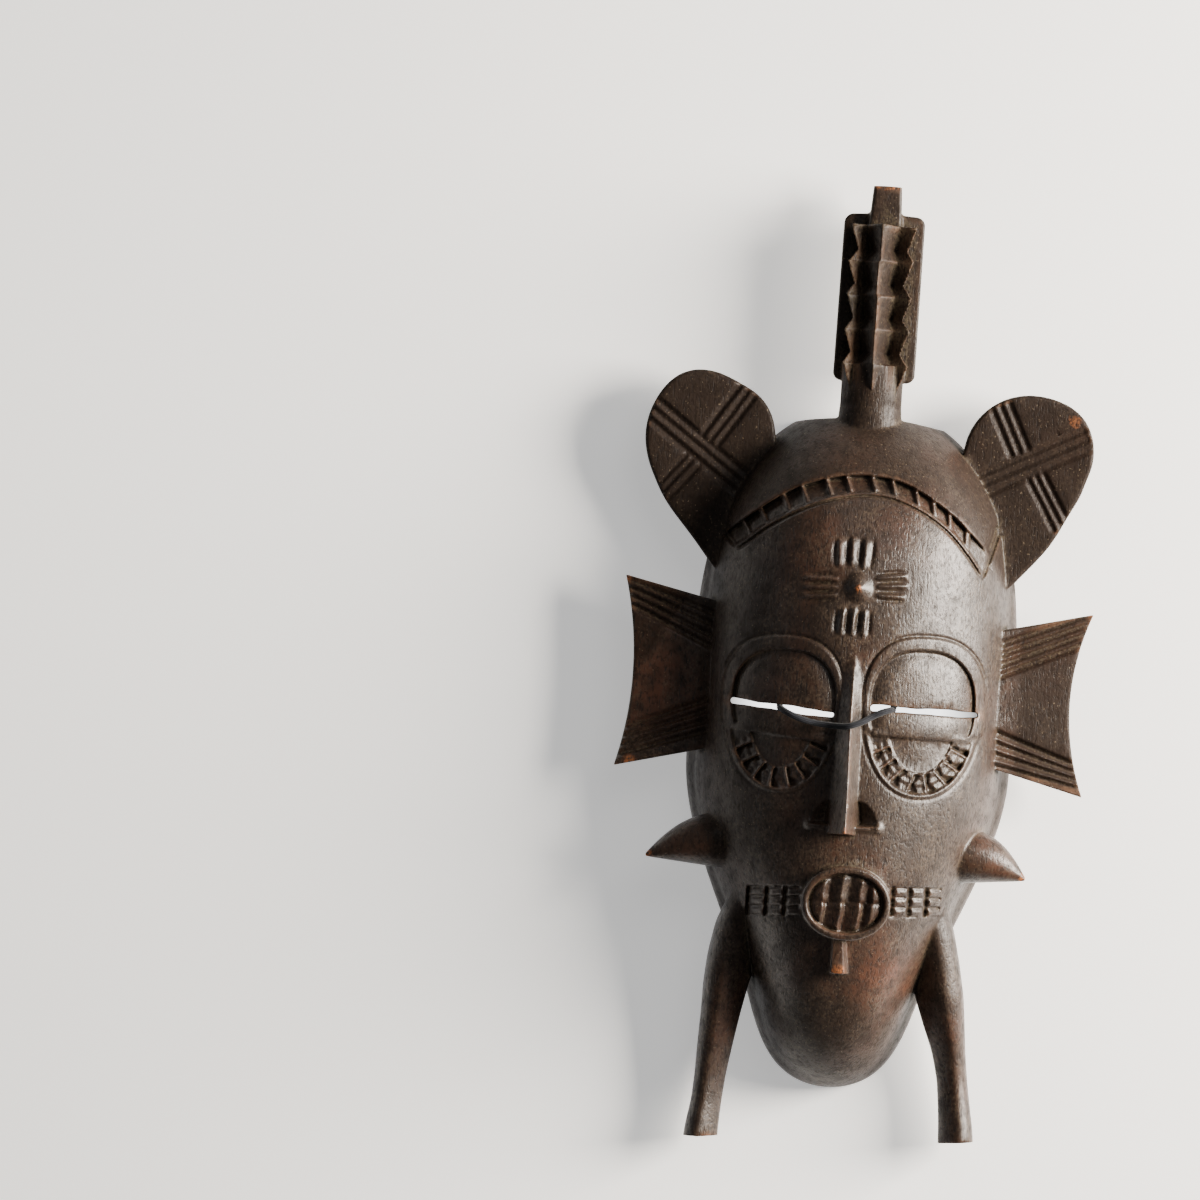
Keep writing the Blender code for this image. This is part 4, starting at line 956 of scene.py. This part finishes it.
def crest(x, y, z):
    """A round neck, a plate with a peg on top, and a column of thorns on the plate's front: three
    upright crests with a trough each side of the middle one, nicked at each row."""
    flare = 1 + 0.03 * smooth((96 - y) / 6)
    u, v = (x - NECK_X) / (NECK_HALF[0] * flare), (z - NECK_Z) / (NECK_HALF[1] * flare)
    neck = np.maximum((np.hypot(u, v) - 1) * 9.6, y - NECK_TOP)
    lean = x - 0.006 * (y - CREST_Y)
    outline_x = np.abs(lean) - PLATE_HALF + 0.0025 * (y - CREST_Y)
    outline_y = np.maximum(y - PLATE_TOP + 0.0035 * lean**2, PLATE_BOTTOM - y + 0.012 * lean)
    corner = 3.0
    ox, oy = outline_x + corner, outline_y + corner
    outline = np.minimum(np.maximum(ox, oy), 0) + np.hypot(np.maximum(ox, 0), np.maximum(oy, 0)) - corner
    height = np.maximum(z - PLATE_FRONT, PLATE_BACK - z)
    plate = slab_between(outline, height, 0.9)
    peg_x = np.abs(x - PEG_X - 0.01 * (y - 165)) - PEG_HALF + 0.06 * (y - 170)
    peg_z = np.maximum(z - PEG_FRONT, PEG_BACK - z)
    peg_ends = np.maximum(y - PEG_TOP + 0.006 * (x - PEG_X) ** 2, 158 - y)
    peg = np.maximum(slab_between(peg_x, peg_z, 1.3), peg_ends)
    # Rows run from v = 0 at a thorn's point to v = 1 at the next point below it.
    rows = (THORN_TOP - y) / THORN_PITCH
    fall = rows - np.floor(rows)
    last = rows > THORN_ROWS - 1
    fall = np.where(last, rows - (THORN_ROWS - 1), fall)
    step = np.where(fall < THORN_LOW_SHARE, fall / THORN_LOW_SHARE, (1 - fall) / (1 - THORN_LOW_SHARE))
    step = np.where(last, np.clip(fall * 1.6, 0, 3), np.clip(step, 0, 1))
    step = np.where(rows < 0, 0, step)
    index = np.floor(np.clip(rows, 0, THORN_ROWS - 1)).astype(int)
    uneven = np.array([0.5, -0.4, 0.2, -0.1, 0.3])[index] * 0.7
    side_x = THORN_SIDE[0] - 2.3 * np.minimum(step, 1) - 3.2 * np.maximum(step - 1, 0)
    from_middle = x - THORN_MIDDLE[0] - uneven
    reach = np.where(from_middle > 0, side_x - THORN_MIDDLE[0] - 0.5, side_x + THORN_MIDDLE[0] + 0.4)
    share = np.clip(np.abs(from_middle) / np.maximum(reach, 1), 0, 1.4)
    bend = np.where(share < 0.52, share / 0.52, (1 - share) / 0.48)
    trough = np.clip(bend, 0, 1) * (4.6 + 2.6 * np.clip(step, 0, 1))
    top = THORN_MIDDLE[1] + (THORN_SIDE[1] - THORN_MIDDLE[1]) * np.clip(share, 0, 1)
    surface = top - trough - 1.5 * np.minimum(step, 1) - 7 * np.maximum(step - 1, 0)
    front = (z - surface) * 0.52
    wall = np.abs(from_middle) - reach - 0.22 * (z - THORN_SIDE[1])
    ends = np.maximum(y - (THORN_TOP + 0.6 + 0.10 * (z - 28)), 100.5 - y)
    thorns = np.maximum(np.maximum(front, wall * 0.9), np.maximum(ends, 16 - z))
    body = join(neck, plate, 1.6)
    body = join(body, peg, 1.6)
    return join(body, thorns, 0.5)


def nose(x, y, z):
    """A long straight wedge with a sharp crest, a steep left side and a flatter right one."""
    share = np.clip((NOSE_TOP - y) / (NOSE_TOP - NOSE_TIP), 0, 1)
    crest_z = NOSE_TOP_Z + (NOSE_TIP_Z - NOSE_TOP_Z) * share**0.9
    crest_x = NOSE_X + 0.2 * np.sin(y / 11.0)
    high = np.maximum(crest_z - NOSE_FOOT_Z, 0.6)
    right_half = NOSE_RIGHT - 0.9 * share
    left = (crest_x - x) * high / NOSE_LEFT
    right = (x - crest_x) * high / right_half
    slope_left, slope_right = np.hypot(1, high / NOSE_LEFT), np.hypot(1, high / right_half)
    sides = np.maximum((z - crest_z + left) / slope_left, (z - crest_z + right) / slope_right)
    ends = np.maximum(y - NOSE_TOP - 0.2 * (x - NOSE_X), NOSE_TIP - y + 0.05 * (z - 66))
    return np.maximum(np.maximum(sides, ends), NOSE_BACK - z)


SLIT_HALF, SLIT_BACK = 1.05, 20


def slit(eye, x, y):
    """The cut through the wood along an eye, a little uneven, with rounded ends."""
    _, _, _, (ax, ay), (bx, by) = eye
    length = math.hypot(bx - ax, by - ay)
    dx, dy = (bx - ax) / length, (by - ay) / length
    run = np.clip((x - ax) * dx + (y - ay) * dy, 1.0, length - 1.0)
    wave = 0.22 * np.sin(x / 3.1 + ay) + 0.12 * np.sin(x / 1.3)
    return np.hypot(x - ax - run * dx, y - ay - run * dy - wave * 0.5) - SLIT_HALF - 0.18 * np.sin(x / 4.3)


def near(x, y, low, high, margin=8.0):
    """Which points are in a box, or within a margin of it."""
    return np.nonzero(
        (x > low[0] - margin) & (x < high[0] + margin) & (y > low[1] - margin) & (y < high[1] + margin)
    )[0]


def wood(x, y, z):
    """Distance from the mask's surface, below zero in the wood."""
    solid = egg(HEAD, x, y, z)
    crown = (y - CROWN_CUT + CROWN_CUT_FALL * x * x) / np.sqrt(1 + (2 * CROWN_CUT_FALL * x) ** 2)
    solid = np.maximum(solid, crown)
    front = smooth((z - 4) / 10)
    solid = solid - look_up(face, x, y) * front
    for side in (-1, 1):
        for made, low, high, fillet in (
            (ear, (27, 28), (83, 105), 0.5),
            (wing, (46, -44), (87, 29), 0.5),
            (cheek_spike, (34, -77), (73, -56), 1.0),
            (leg, (18, -177), (56, -80), 0.8),
        ):
            at = near(x * side, y, low, high)
            if len(at):
                solid[at] = join(solid[at], made(side, x[at], y[at], z[at]), fillet)
    for made, low, high, fillet in (
        (crest, (-16, 84), (16, 177), 1.0),
        (nose, (-9, -63), (6, 6), 0.5),
        (mouth, (-15, -112), (18, -72), 0.7),
    ):
        at = near(x, y, low, high)
        if len(at):
            solid[at] = join(solid[at], made(x[at], y[at], z[at]), fillet)
    solid = cut(solid, egg(HOLLOW, x, y, z), 0.8)
    at = near(x, y, (-47, -22), (47, -10), 3)
    if len(at):
        in_front = z[at] > SLIT_BACK
        for eye in EYES:
            opening = np.where(in_front, slit(eye, x[at], y[at]), 20.0)
            solid[at] = cut(solid[at], opening, 0.4)
    return np.maximum(solid, -z)


COARSE, FINE = 8, 4
OUTSIDE = 9.0
MANY, FEWER = 1_000_000, 30_000


def surface_mesh(low, high, voxel):
    """The surface where wood() is zero: one point in each cell that it passes through, pulled onto it.

    The cells are found from coarse blocks down, so that the solid's inside isn't worked through."""
    low = np.array(low, np.float32)
    counts = np.ceil((np.array(high) - low) / (COARSE * voxel)).astype(int)
    blocks = np.stack(np.meshgrid(*[np.arange(n) for n in counts], indexing="ij"), -1).reshape(-1, 3)
    shape = counts * COARSE + 1
    grid = np.empty(shape, np.float32)
    size = COARSE
    while True:
        edge = size * voxel
        middle = low + (blocks + 0.5) * edge
        value = np.empty(len(blocks), np.float32)
        for start in range(0, len(blocks), MANY):
            part = middle[start : start + MANY]
            value[start : start + MANY] = wood(*part.T.astype(np.float32))
        reach = 0.87 * edge + 1.6
        far = np.abs(value) > reach
        if size == COARSE:
            sign = np.where(value.reshape(counts) > 0, OUTSIDE, -OUTSIDE).astype(np.float32)
            grid[:] = OUTSIDE
            grid[:-1, :-1, :-1] = np.repeat(np.repeat(np.repeat(sign, size, 0), size, 1), size, 2)
        else:
            for block, amount in zip(blocks[far], value[far]):
                a, b, c = block * size
                grid[a : a + size, b : b + size, c : c + size] = OUTSIDE if amount > 0 else -OUTSIDE
        blocks = blocks[~far]
        if size == FINE:
            break
        corners = np.stack(np.meshgrid((0, 1), (0, 1), (0, 1), indexing="ij"), -1).reshape(1, 8, 3)
        blocks = (blocks[:, None] * 2 + corners).reshape(-1, 3)
        size //= 2
    cell = np.stack(np.meshgrid(*[np.arange(size)] * 3, indexing="ij"), -1).reshape(1, -1, 3)
    for start in range(0, len(blocks), FEWER):
        index = (blocks[start : start + FEWER, None] * size + cell).reshape(-1, 3)
        place = (low + index * voxel).astype(np.float32)
        grid[index[:, 0], index[:, 1], index[:, 2]] = wood(*place.T)
    inside = grid < 0
    edges, faces = [], []
    for axis in range(3):
        ahead = tuple(slice(1, None) if k == axis else slice(None) for k in range(3))
        behind = tuple(slice(None, -1) if k == axis else slice(None) for k in range(3))
        at = np.stack(np.nonzero(inside[behind] != inside[ahead]), 1)
        a = grid[behind][tuple(at.T)]
        b = grid[ahead][tuple(at.T)]
        place = at.astype(np.float32)
        place[:, axis] += a / (a - b)
        u, v = [k for k in range(3) if k != axis]
        around = []
        for du, dv in ((-1, -1), (0, -1), (0, 0), (-1, 0)):
            neighbour = at.copy()
            neighbour[:, u] += du
            neighbour[:, v] += dv
            around.append(neighbour)
        # Cells round an edge, in an order that faces out of the wood.
        flip = (a < 0) == (axis != 1)
        edges.append((around, place, flip))
    ids, places = [], []
    for around, place, _ in edges:
        for neighbour in around:
            ids.append((neighbour[:, 0] * shape[1] + neighbour[:, 1]) * shape[2] + neighbour[:, 2])
            places.append(place)
    ids, places = np.concatenate(ids), np.concatenate(places)
    cells, compact = np.unique(ids, return_inverse=True)
    total = np.bincount(compact)
    points = np.stack([np.bincount(compact, places[:, k]) / total for k in range(3)], 1)
    points = (low + points * voxel).astype(np.float32)
    start = 0
    for around, place, flip in edges:
        count = len(place)
        quad = np.stack([compact[start + k * count : start + (k + 1) * count] for k in range(4)], 1)
        start += 4 * count
        faces.append(np.where(flip[:, None], quad, quad[:, ::-1]))
    faces = np.concatenate(faces)
    for _ in range(2):
        value = wood(*points.T)
        slope = steepness(points, 0.15)
        move = value[:, None] * slope / np.maximum((slope**2).sum(1, keepdims=True), 0.3)
        points = points - np.clip(move, -0.35 * voxel, 0.35 * voxel)
    return points, faces


def steepness(points, step):
    """The direction out of the wood at each point, by how the distance changes over a step."""
    slope = np.empty_like(points)
    for axis in range(3):
        shift = np.zeros(3, np.float32)
        shift[axis] = step
        slope[:, axis] = (wood(*(points + shift).T) - wood(*(points - shift).T)) / (2 * step)
    return slope


WORK_LOW, WORK_HIGH = (-87, -177, -1.5), (87, 177, 79)
box_low, box_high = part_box("mask")
points, faces = surface_mesh(WORK_LOW, WORK_HIGH, VOXEL)
mesh = bpy.data.meshes.new("carved_mask")
mesh.vertices.add(len(points))
mesh.vertices.foreach_set("co", (points * 0.001).astype(np.float32).ravel())
mesh.loops.add(4 * len(faces))
mesh.loops.foreach_set("vertex_index", faces.ravel().astype(np.int32))
mesh.polygons.add(len(faces))
mesh.polygons.foreach_set("loop_start", np.arange(0, 4 * len(faces), 4, dtype=np.int32))
mesh.update(calc_edges=True)
mesh.validate()
mask = new_object("carved_mask", mesh)

TRIANGLES = 190_000
thin = mask.modifiers.new("thin", "DECIMATE")
thin.ratio = min(1.0, TRIANGLES / (2 * len(faces)))
graph = bpy.context.evaluated_depsgraph_get()
mesh = bpy.data.meshes.new_from_object(mask.evaluated_get(graph))
mask.modifiers.remove(thin)
old = mask.data
mask.data = mesh
bpy.data.meshes.remove(old)

# Thinning leaves a few slivers that stand on the skin or beside it: all but the skin itself goes.
shell = bmesh.new()
shell.from_mesh(mesh)
unseen = set(shell.faces)
patches = []
while unseen:
    patch, front = [], [unseen.pop()]
    while front:
        tri = front.pop()
        patch.append(tri)
        for edge in tri.edges:
            if len(edge.link_faces) == 2:
                for other in edge.link_faces:
                    if other in unseen:
                        unseen.remove(other)
                        front.append(other)
    patches.append(patch)
skin = max(patches, key=len)
slivers = [tri for patch in patches if patch is not skin for tri in patch]
bmesh.ops.delete(shell, geom=slivers, context="FACES")
shell.to_mesh(mesh)
shell.free()

places = np.empty(3 * len(mesh.vertices), np.float32)
mesh.vertices.foreach_get("co", places)
places = places.reshape(-1, 3)
for axis in range(3):
    places[:, axis] = np.clip(places[:, axis], box_low[axis] + 1e-6, box_high[axis] - 1e-6)
mesh.vertices.foreach_set("co", places.ravel())
mesh.polygons.foreach_set("use_smooth", [True] * len(mesh.polygons))
mesh.update()

# How hollow or how proud each point is, which says where dust stays, where shade is painted into the cuts,
# and where hands rub.
places = places * 1000
outward = steepness(places, 0.3)
outward /= np.maximum(np.linalg.norm(outward, axis=1, keepdims=True), 1e-3)
hollow = np.zeros(len(places), np.float32)
proud = np.zeros(len(places), np.float32)
for reach in (0.7, 1.5, 3.0):
    hollow += np.clip((reach - wood(*(places + outward * reach).T)) / reach, 0, 1) / 3
    proud += np.clip((reach + wood(*(places - outward * reach).T)) / reach, 0, 1) / 3

# Where the dark skin is rubbed or knocked off: place, how far it reaches, and how bare it is.
BARE_SPOTS = (
    ((2.5, 175.4, 27.0), 2.6, 0.6),
    ((-3.0, 175.4, 27.0), 2.2, 0.5),
    ((-85.6, 27.0, 20.0), 4.0, 0.6),
    ((-85.6, -41.5, 20.0), 4.5, 0.5),
    ((-80.0, -40.0, 23.0), 4.0, 0.5),
    ((85.6, 22.5, 20.0), 4.0, 0.6),
    ((85.0, -41.5, 20.0), 4.0, 0.4),
    ((-45.1, -176.5, 16.0), 6.0, 0.55),
    ((50.0, -175.5, 16.0), 6.0, 0.5),
    ((-71.9, -73.7, 30.0), 4.0, 0.6),
    ((66.7, -73.7, 30.0), 4.0, 0.6),
    ((-1.5, 28.4, 66.0), 2.6, 1.0),
    ((0.2, -111.6, 56.0), 4.5, 0.7),
    ((74.5, 94.0, 22.0), 3.0, 0.6),
    ((-1.4, -60.0, 75.5), 2.4, 0.8),
)
# Where the skin is thin and the red wood shows through it. The first spot, over the left wing, is also
# painted light: it lightens the reddish wing where the head shades it.
THIN_SKIN_AND_LIGHT_SPOTS = (
    ((-70.0, -8.0, 24.0), 30.0, 0.75),
    ((24.0, -114.0, 44.0), 20.0, 0.75),
    ((-4.0, -108.0, 52.0), 16.0, 0.3),
    ((3.0, 6.0, 61.0), 10.0, 0.6),
    ((-18.0, 42.0, 60.0), 18.0, 0.4),
    ((10.0, 50.0, 58.0), 14.0, 0.4),
    ((50.0, -12.0, 40.0), 16.0, 0.5),
    ((-46.0, -40.0, 40.0), 20.0, 0.4),
    ((47.0, -140.0, 16.0), 26.0, 0.55),
    ((-43.0, -135.0, 18.0), 28.0, 0.6),
    ((56.0, -70.0, 30.0), 10.0, 0.5),
    ((70.0, 84.0, 22.0), 16.0, 0.3),
)
# What hands don't polish keeps its soot: the ears, the wings, the cap and the crest.
aside = np.abs(places[:, 0]) - np.interp(places[:, 1], HEAD[0], HEAD[1])
cap_line = 69.0 - 0.0122 * places[:, 0] ** 2
soot_and_shade = 0.92 * smooth(aside / 4 + 0.5) * smooth((places[:, 1] + 60) / 8)
# Painted light: the left wing, which lies in the head's shadow, is kept free of soot so that it shows
# lighter.
left_wing_painted_light = smooth((-56 - places[:, 0]) / 4) * smooth((34 - places[:, 1]) / 6)
soot_and_shade *= 1 - left_wing_painted_light
# Painted shade: the face's left side, turned from the light, is darkened with soot colour, as are the head's
# foot (its steep low sides) and the chin's end; the crest keeps less soot.
shaded_left_side = smooth((-24 - places[:, 0]) / 16) * smooth((-aside - 0.5) / 3) * smooth((places[:, 2] - 8) / 12)
soot_and_shade = np.maximum(soot_and_shade, 0.62 * shaded_left_side)
on_head = smooth((-aside - 0.2) / 1.5) * smooth((92 - places[:, 1]) / 4)
soot_and_shade = np.maximum(soot_and_shade, 0.6 * on_head * smooth((30 - places[:, 2]) / 16))
soot_and_shade = np.maximum(soot_and_shade, 0.5 * on_head * smooth((-116 - places[:, 1]) / 16))
soot_and_shade *= 1 - 0.4 * smooth((places[:, 1] - 98) / 6)
soot_and_shade = np.maximum(soot_and_shade, 0.75 * smooth((places[:, 1] - cap_line) / 2 + 0.5))
bare = np.zeros(len(places), np.float32)
thin_skin_and_light = np.zeros(len(places), np.float32)
for values, spots in ((bare, BARE_SPOTS), (thin_skin_and_light, THIN_SKIN_AND_LIGHT_SPOTS)):
    for spot, reach, amount in spots:
        away = np.linalg.norm(places - np.array(spot, np.float32), axis=1)
        values[:] = np.maximum(values, amount * smooth(1.15 - away / reach))
for name, values in (("dust", hollow), ("wear", proud), ("bare", bare), ("thin", thin_skin_and_light), ("soot_and_shade", soot_and_shade)):
    layer = mesh.attributes.new(name, "FLOAT", "POINT")
    layer.data.foreach_set("value", np.clip(values, 0, 1).astype(np.float32))


def oiled_hardwood():
    """Dense hardwood, oiled and hung in smoke. The skin is nearly black and satin where hands polish
    it, grey and matt where dust has stayed in the cuts, and red-brown where it is worn through.
    Painted shade darkens the deepest cuts, the face's left side, the head's low sides and the chin's end."""
    made = bpy.data.materials.new("oiled_smoked_hardwood")
    made.use_nodes = True
    tree = made.node_tree
    shader = tree.nodes["Principled BSDF"]
    place = add_node(tree, "ShaderNodeTexCoord").outputs["Object"]
    # Each pattern: its size in metres, how much longer it is along the grain, and its detail.
    patterns = {}
    for name, size, stretch, detail in (
        ("cloud", 0.034, 1.4, 3.0),
        ("patch", 0.011, 1.8, 4.0),
        ("stain", 0.0052, 1.2, 4.0),
        ("grain", 0.0006, 14.0, 2.0),
        ("stipple", 0.0009, 1.3, 3.0),
        ("pore", 0.0006, 6.0, 1.0),
        ("speck", 0.0007, 1.2, 1.0),
        ("grit", 0.0013, 1.5, 3.0),
    ):
        scale = (1 / size, 1 / size / stretch, 1 / size)
        laid = add_node(tree, "ShaderNodeMapping", {"Vector": place, "Scale": scale})
        settings = {"Vector": laid.outputs[0], "Scale": 1.0, "Detail": detail}
        patterns[name] = add_node(tree, "ShaderNodeTexNoise", settings).outputs["Fac"]
    for name in ("dust", "wear", "bare", "thin", "soot_and_shade"):
        patterns[name] = add_node(tree, "ShaderNodeAttribute", attribute_name=name).outputs["Fac"]
    # The shares: a pattern or a surface's own value, and what of it is none and all.
    shares = {}
    for name, source, low, high, most in (
        ("red", "cloud", 0.48, 0.68, 0.55),
        ("sooty", "patch", 0.46, 0.68, 0.70),
        ("streaked", "grain", 0.45, 0.75, 0.45),
        ("mottled", "stipple", 0.42, 0.64, 0.85),
        ("broken", "stipple", 0.38, 0.56, 1.0),
        ("pitted", "pore", 0.60, 0.70, 0.85),
        ("flecked", "speck", 0.69, 0.77, 0.36),
        ("gritty", "grit", 0.50, 0.66, 0.6),
        ("dusty", "dust", 0.14, 0.55, 0.45),
        # Painted shade, with some grime: the deepest hollows are darkened as shade falls in them.
        ("grime_and_painted_shade", "dust", 0.32, 0.68, 0.8),
        ("rubbed", "wear", 0.2, 0.6, 0.5),
        ("bared", "bare", 0.15, 0.75, 1.0),
        ("patchy", "patch", 0.36, 0.60, 1.0),
        ("unpolished_and_shaded", "soot_and_shade", 0.0, 1.0, 0.8),
        ("thinned_and_lightened", "thin", 0.0, 1.0, 0.9),
        ("clouded", "cloud", 0.32, 0.56, 1.0),
        ("stained", "stain", 0.44, 0.68, 0.62),
    ):
        shares[name] = in_range(tree, patterns[source], low, high, 0.0, most)
    for name, one, other in (
        ("settled", "dusty", "broken"),
        ("worn", "rubbed", "patchy"),
        ("stripped", "bared", "broken"),
        ("bloomed", "mottled", "patchy"),
        ("warm_and_lightened", "thinned_and_lightened", "clouded"),
    ):
        shares[name] = combine(tree, "MULTIPLY", shares[one], shares[other])
    colour = srgb("#281d16")
    for share, code in (
        ("red", "#492c1e"),
        ("sooty", "#1b1512"),
        # Red wood through thin skin, and painted light on the shaded left wing.
        ("warm_and_lightened", "#523020"),
        ("streaked", "#403025"),
        ("bloomed", "#4b3e32"),
        ("stained", "#1e1713"),
        ("gritty", "#1d1612"),
        # Soot on the ears, wings, cap and crest, and painted shade on the face's left side, the head's low
        # sides and the chin's end.
        ("unpolished_and_shaded", "#1b130e"),
        ("worn", "#5e4433"),
        ("settled", "#655b48"),
        # Painted shade, with some grime: the deepest hollows are darkened near to black.
        ("grime_and_painted_shade", "#140f0c"),
        ("pitted", "#1a1411"),
        ("flecked", "#84745f"),
        ("stripped", "#a8663c"),
    ):
        colour = add_node(
            tree, "ShaderNodeMix", {"Factor": shares[share], 6: colour, 7: srgb(code)}, data_type="RGBA"
        ).outputs[2]
    tree.links.new(colour, shader.inputs["Base Color"])
    # Polished skin is satin; dust, soot and bare wood are matt.
    rough = in_range(tree, patterns["stipple"], 0.3, 0.7, 0.30, 0.50)
    for share, level in (
        ("sooty", 0.58),
        ("stained", 0.66),
        ("gritty", 0.72),
        ("unpolished_and_shaded", 0.85),
        ("settled", 0.88),
        ("stripped", 0.75),
    ):
        rough = add_node(tree, "ShaderNodeMix", {"Factor": shares[share], 2: rough, 3: level}).outputs[0]
    tree.links.new(rough, shader.inputs["Roughness"])
    shader.inputs["Specular IOR Level"].default_value = 0.10
    # The film of oil that hands have polished: thin on the sooty parts and broken by stains and grit.
    film = in_range(tree, patterns["soot_and_shade"], least=0.86, most=0.12)
    film_kept = {"stained": 0.4, "gritty": 0.35, "settled": 0.1, "grime_and_painted_shade": 0.0, "stripped": 0.1}
    for share, kept in film_kept.items():
        film = combine(tree, "MULTIPLY", film, in_range(tree, shares[share], least=1.0, most=kept))
    tree.links.new(film, shader.inputs["Coat Weight"])
    shader.inputs["Coat Roughness"].default_value = 0.36
    shader.inputs["Coat IOR"].default_value = 1.46
    # The skin's height: fine grain lines and pores, and the film of oil and dust over them.
    height = combine(tree, "ADD", patterns["grain"], patterns["stipple"])
    for sunk_in in ("pitted", "gritty"):
        height = combine(tree, "SUBTRACT", height, shares[sunk_in])
    bump = add_node(tree, "ShaderNodeBump", {"Height": height, "Strength": 0.35, "Distance": 0.0002})
    tree.links.new(bump.outputs["Normal"], shader.inputs["Normal"])
    tree.links.new(bump.outputs["Normal"], shader.inputs["Coat Normal"])
    return made


mesh.materials.clear()
mesh.materials.append(oiled_hardwood())
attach(mask, "root")
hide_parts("mask")
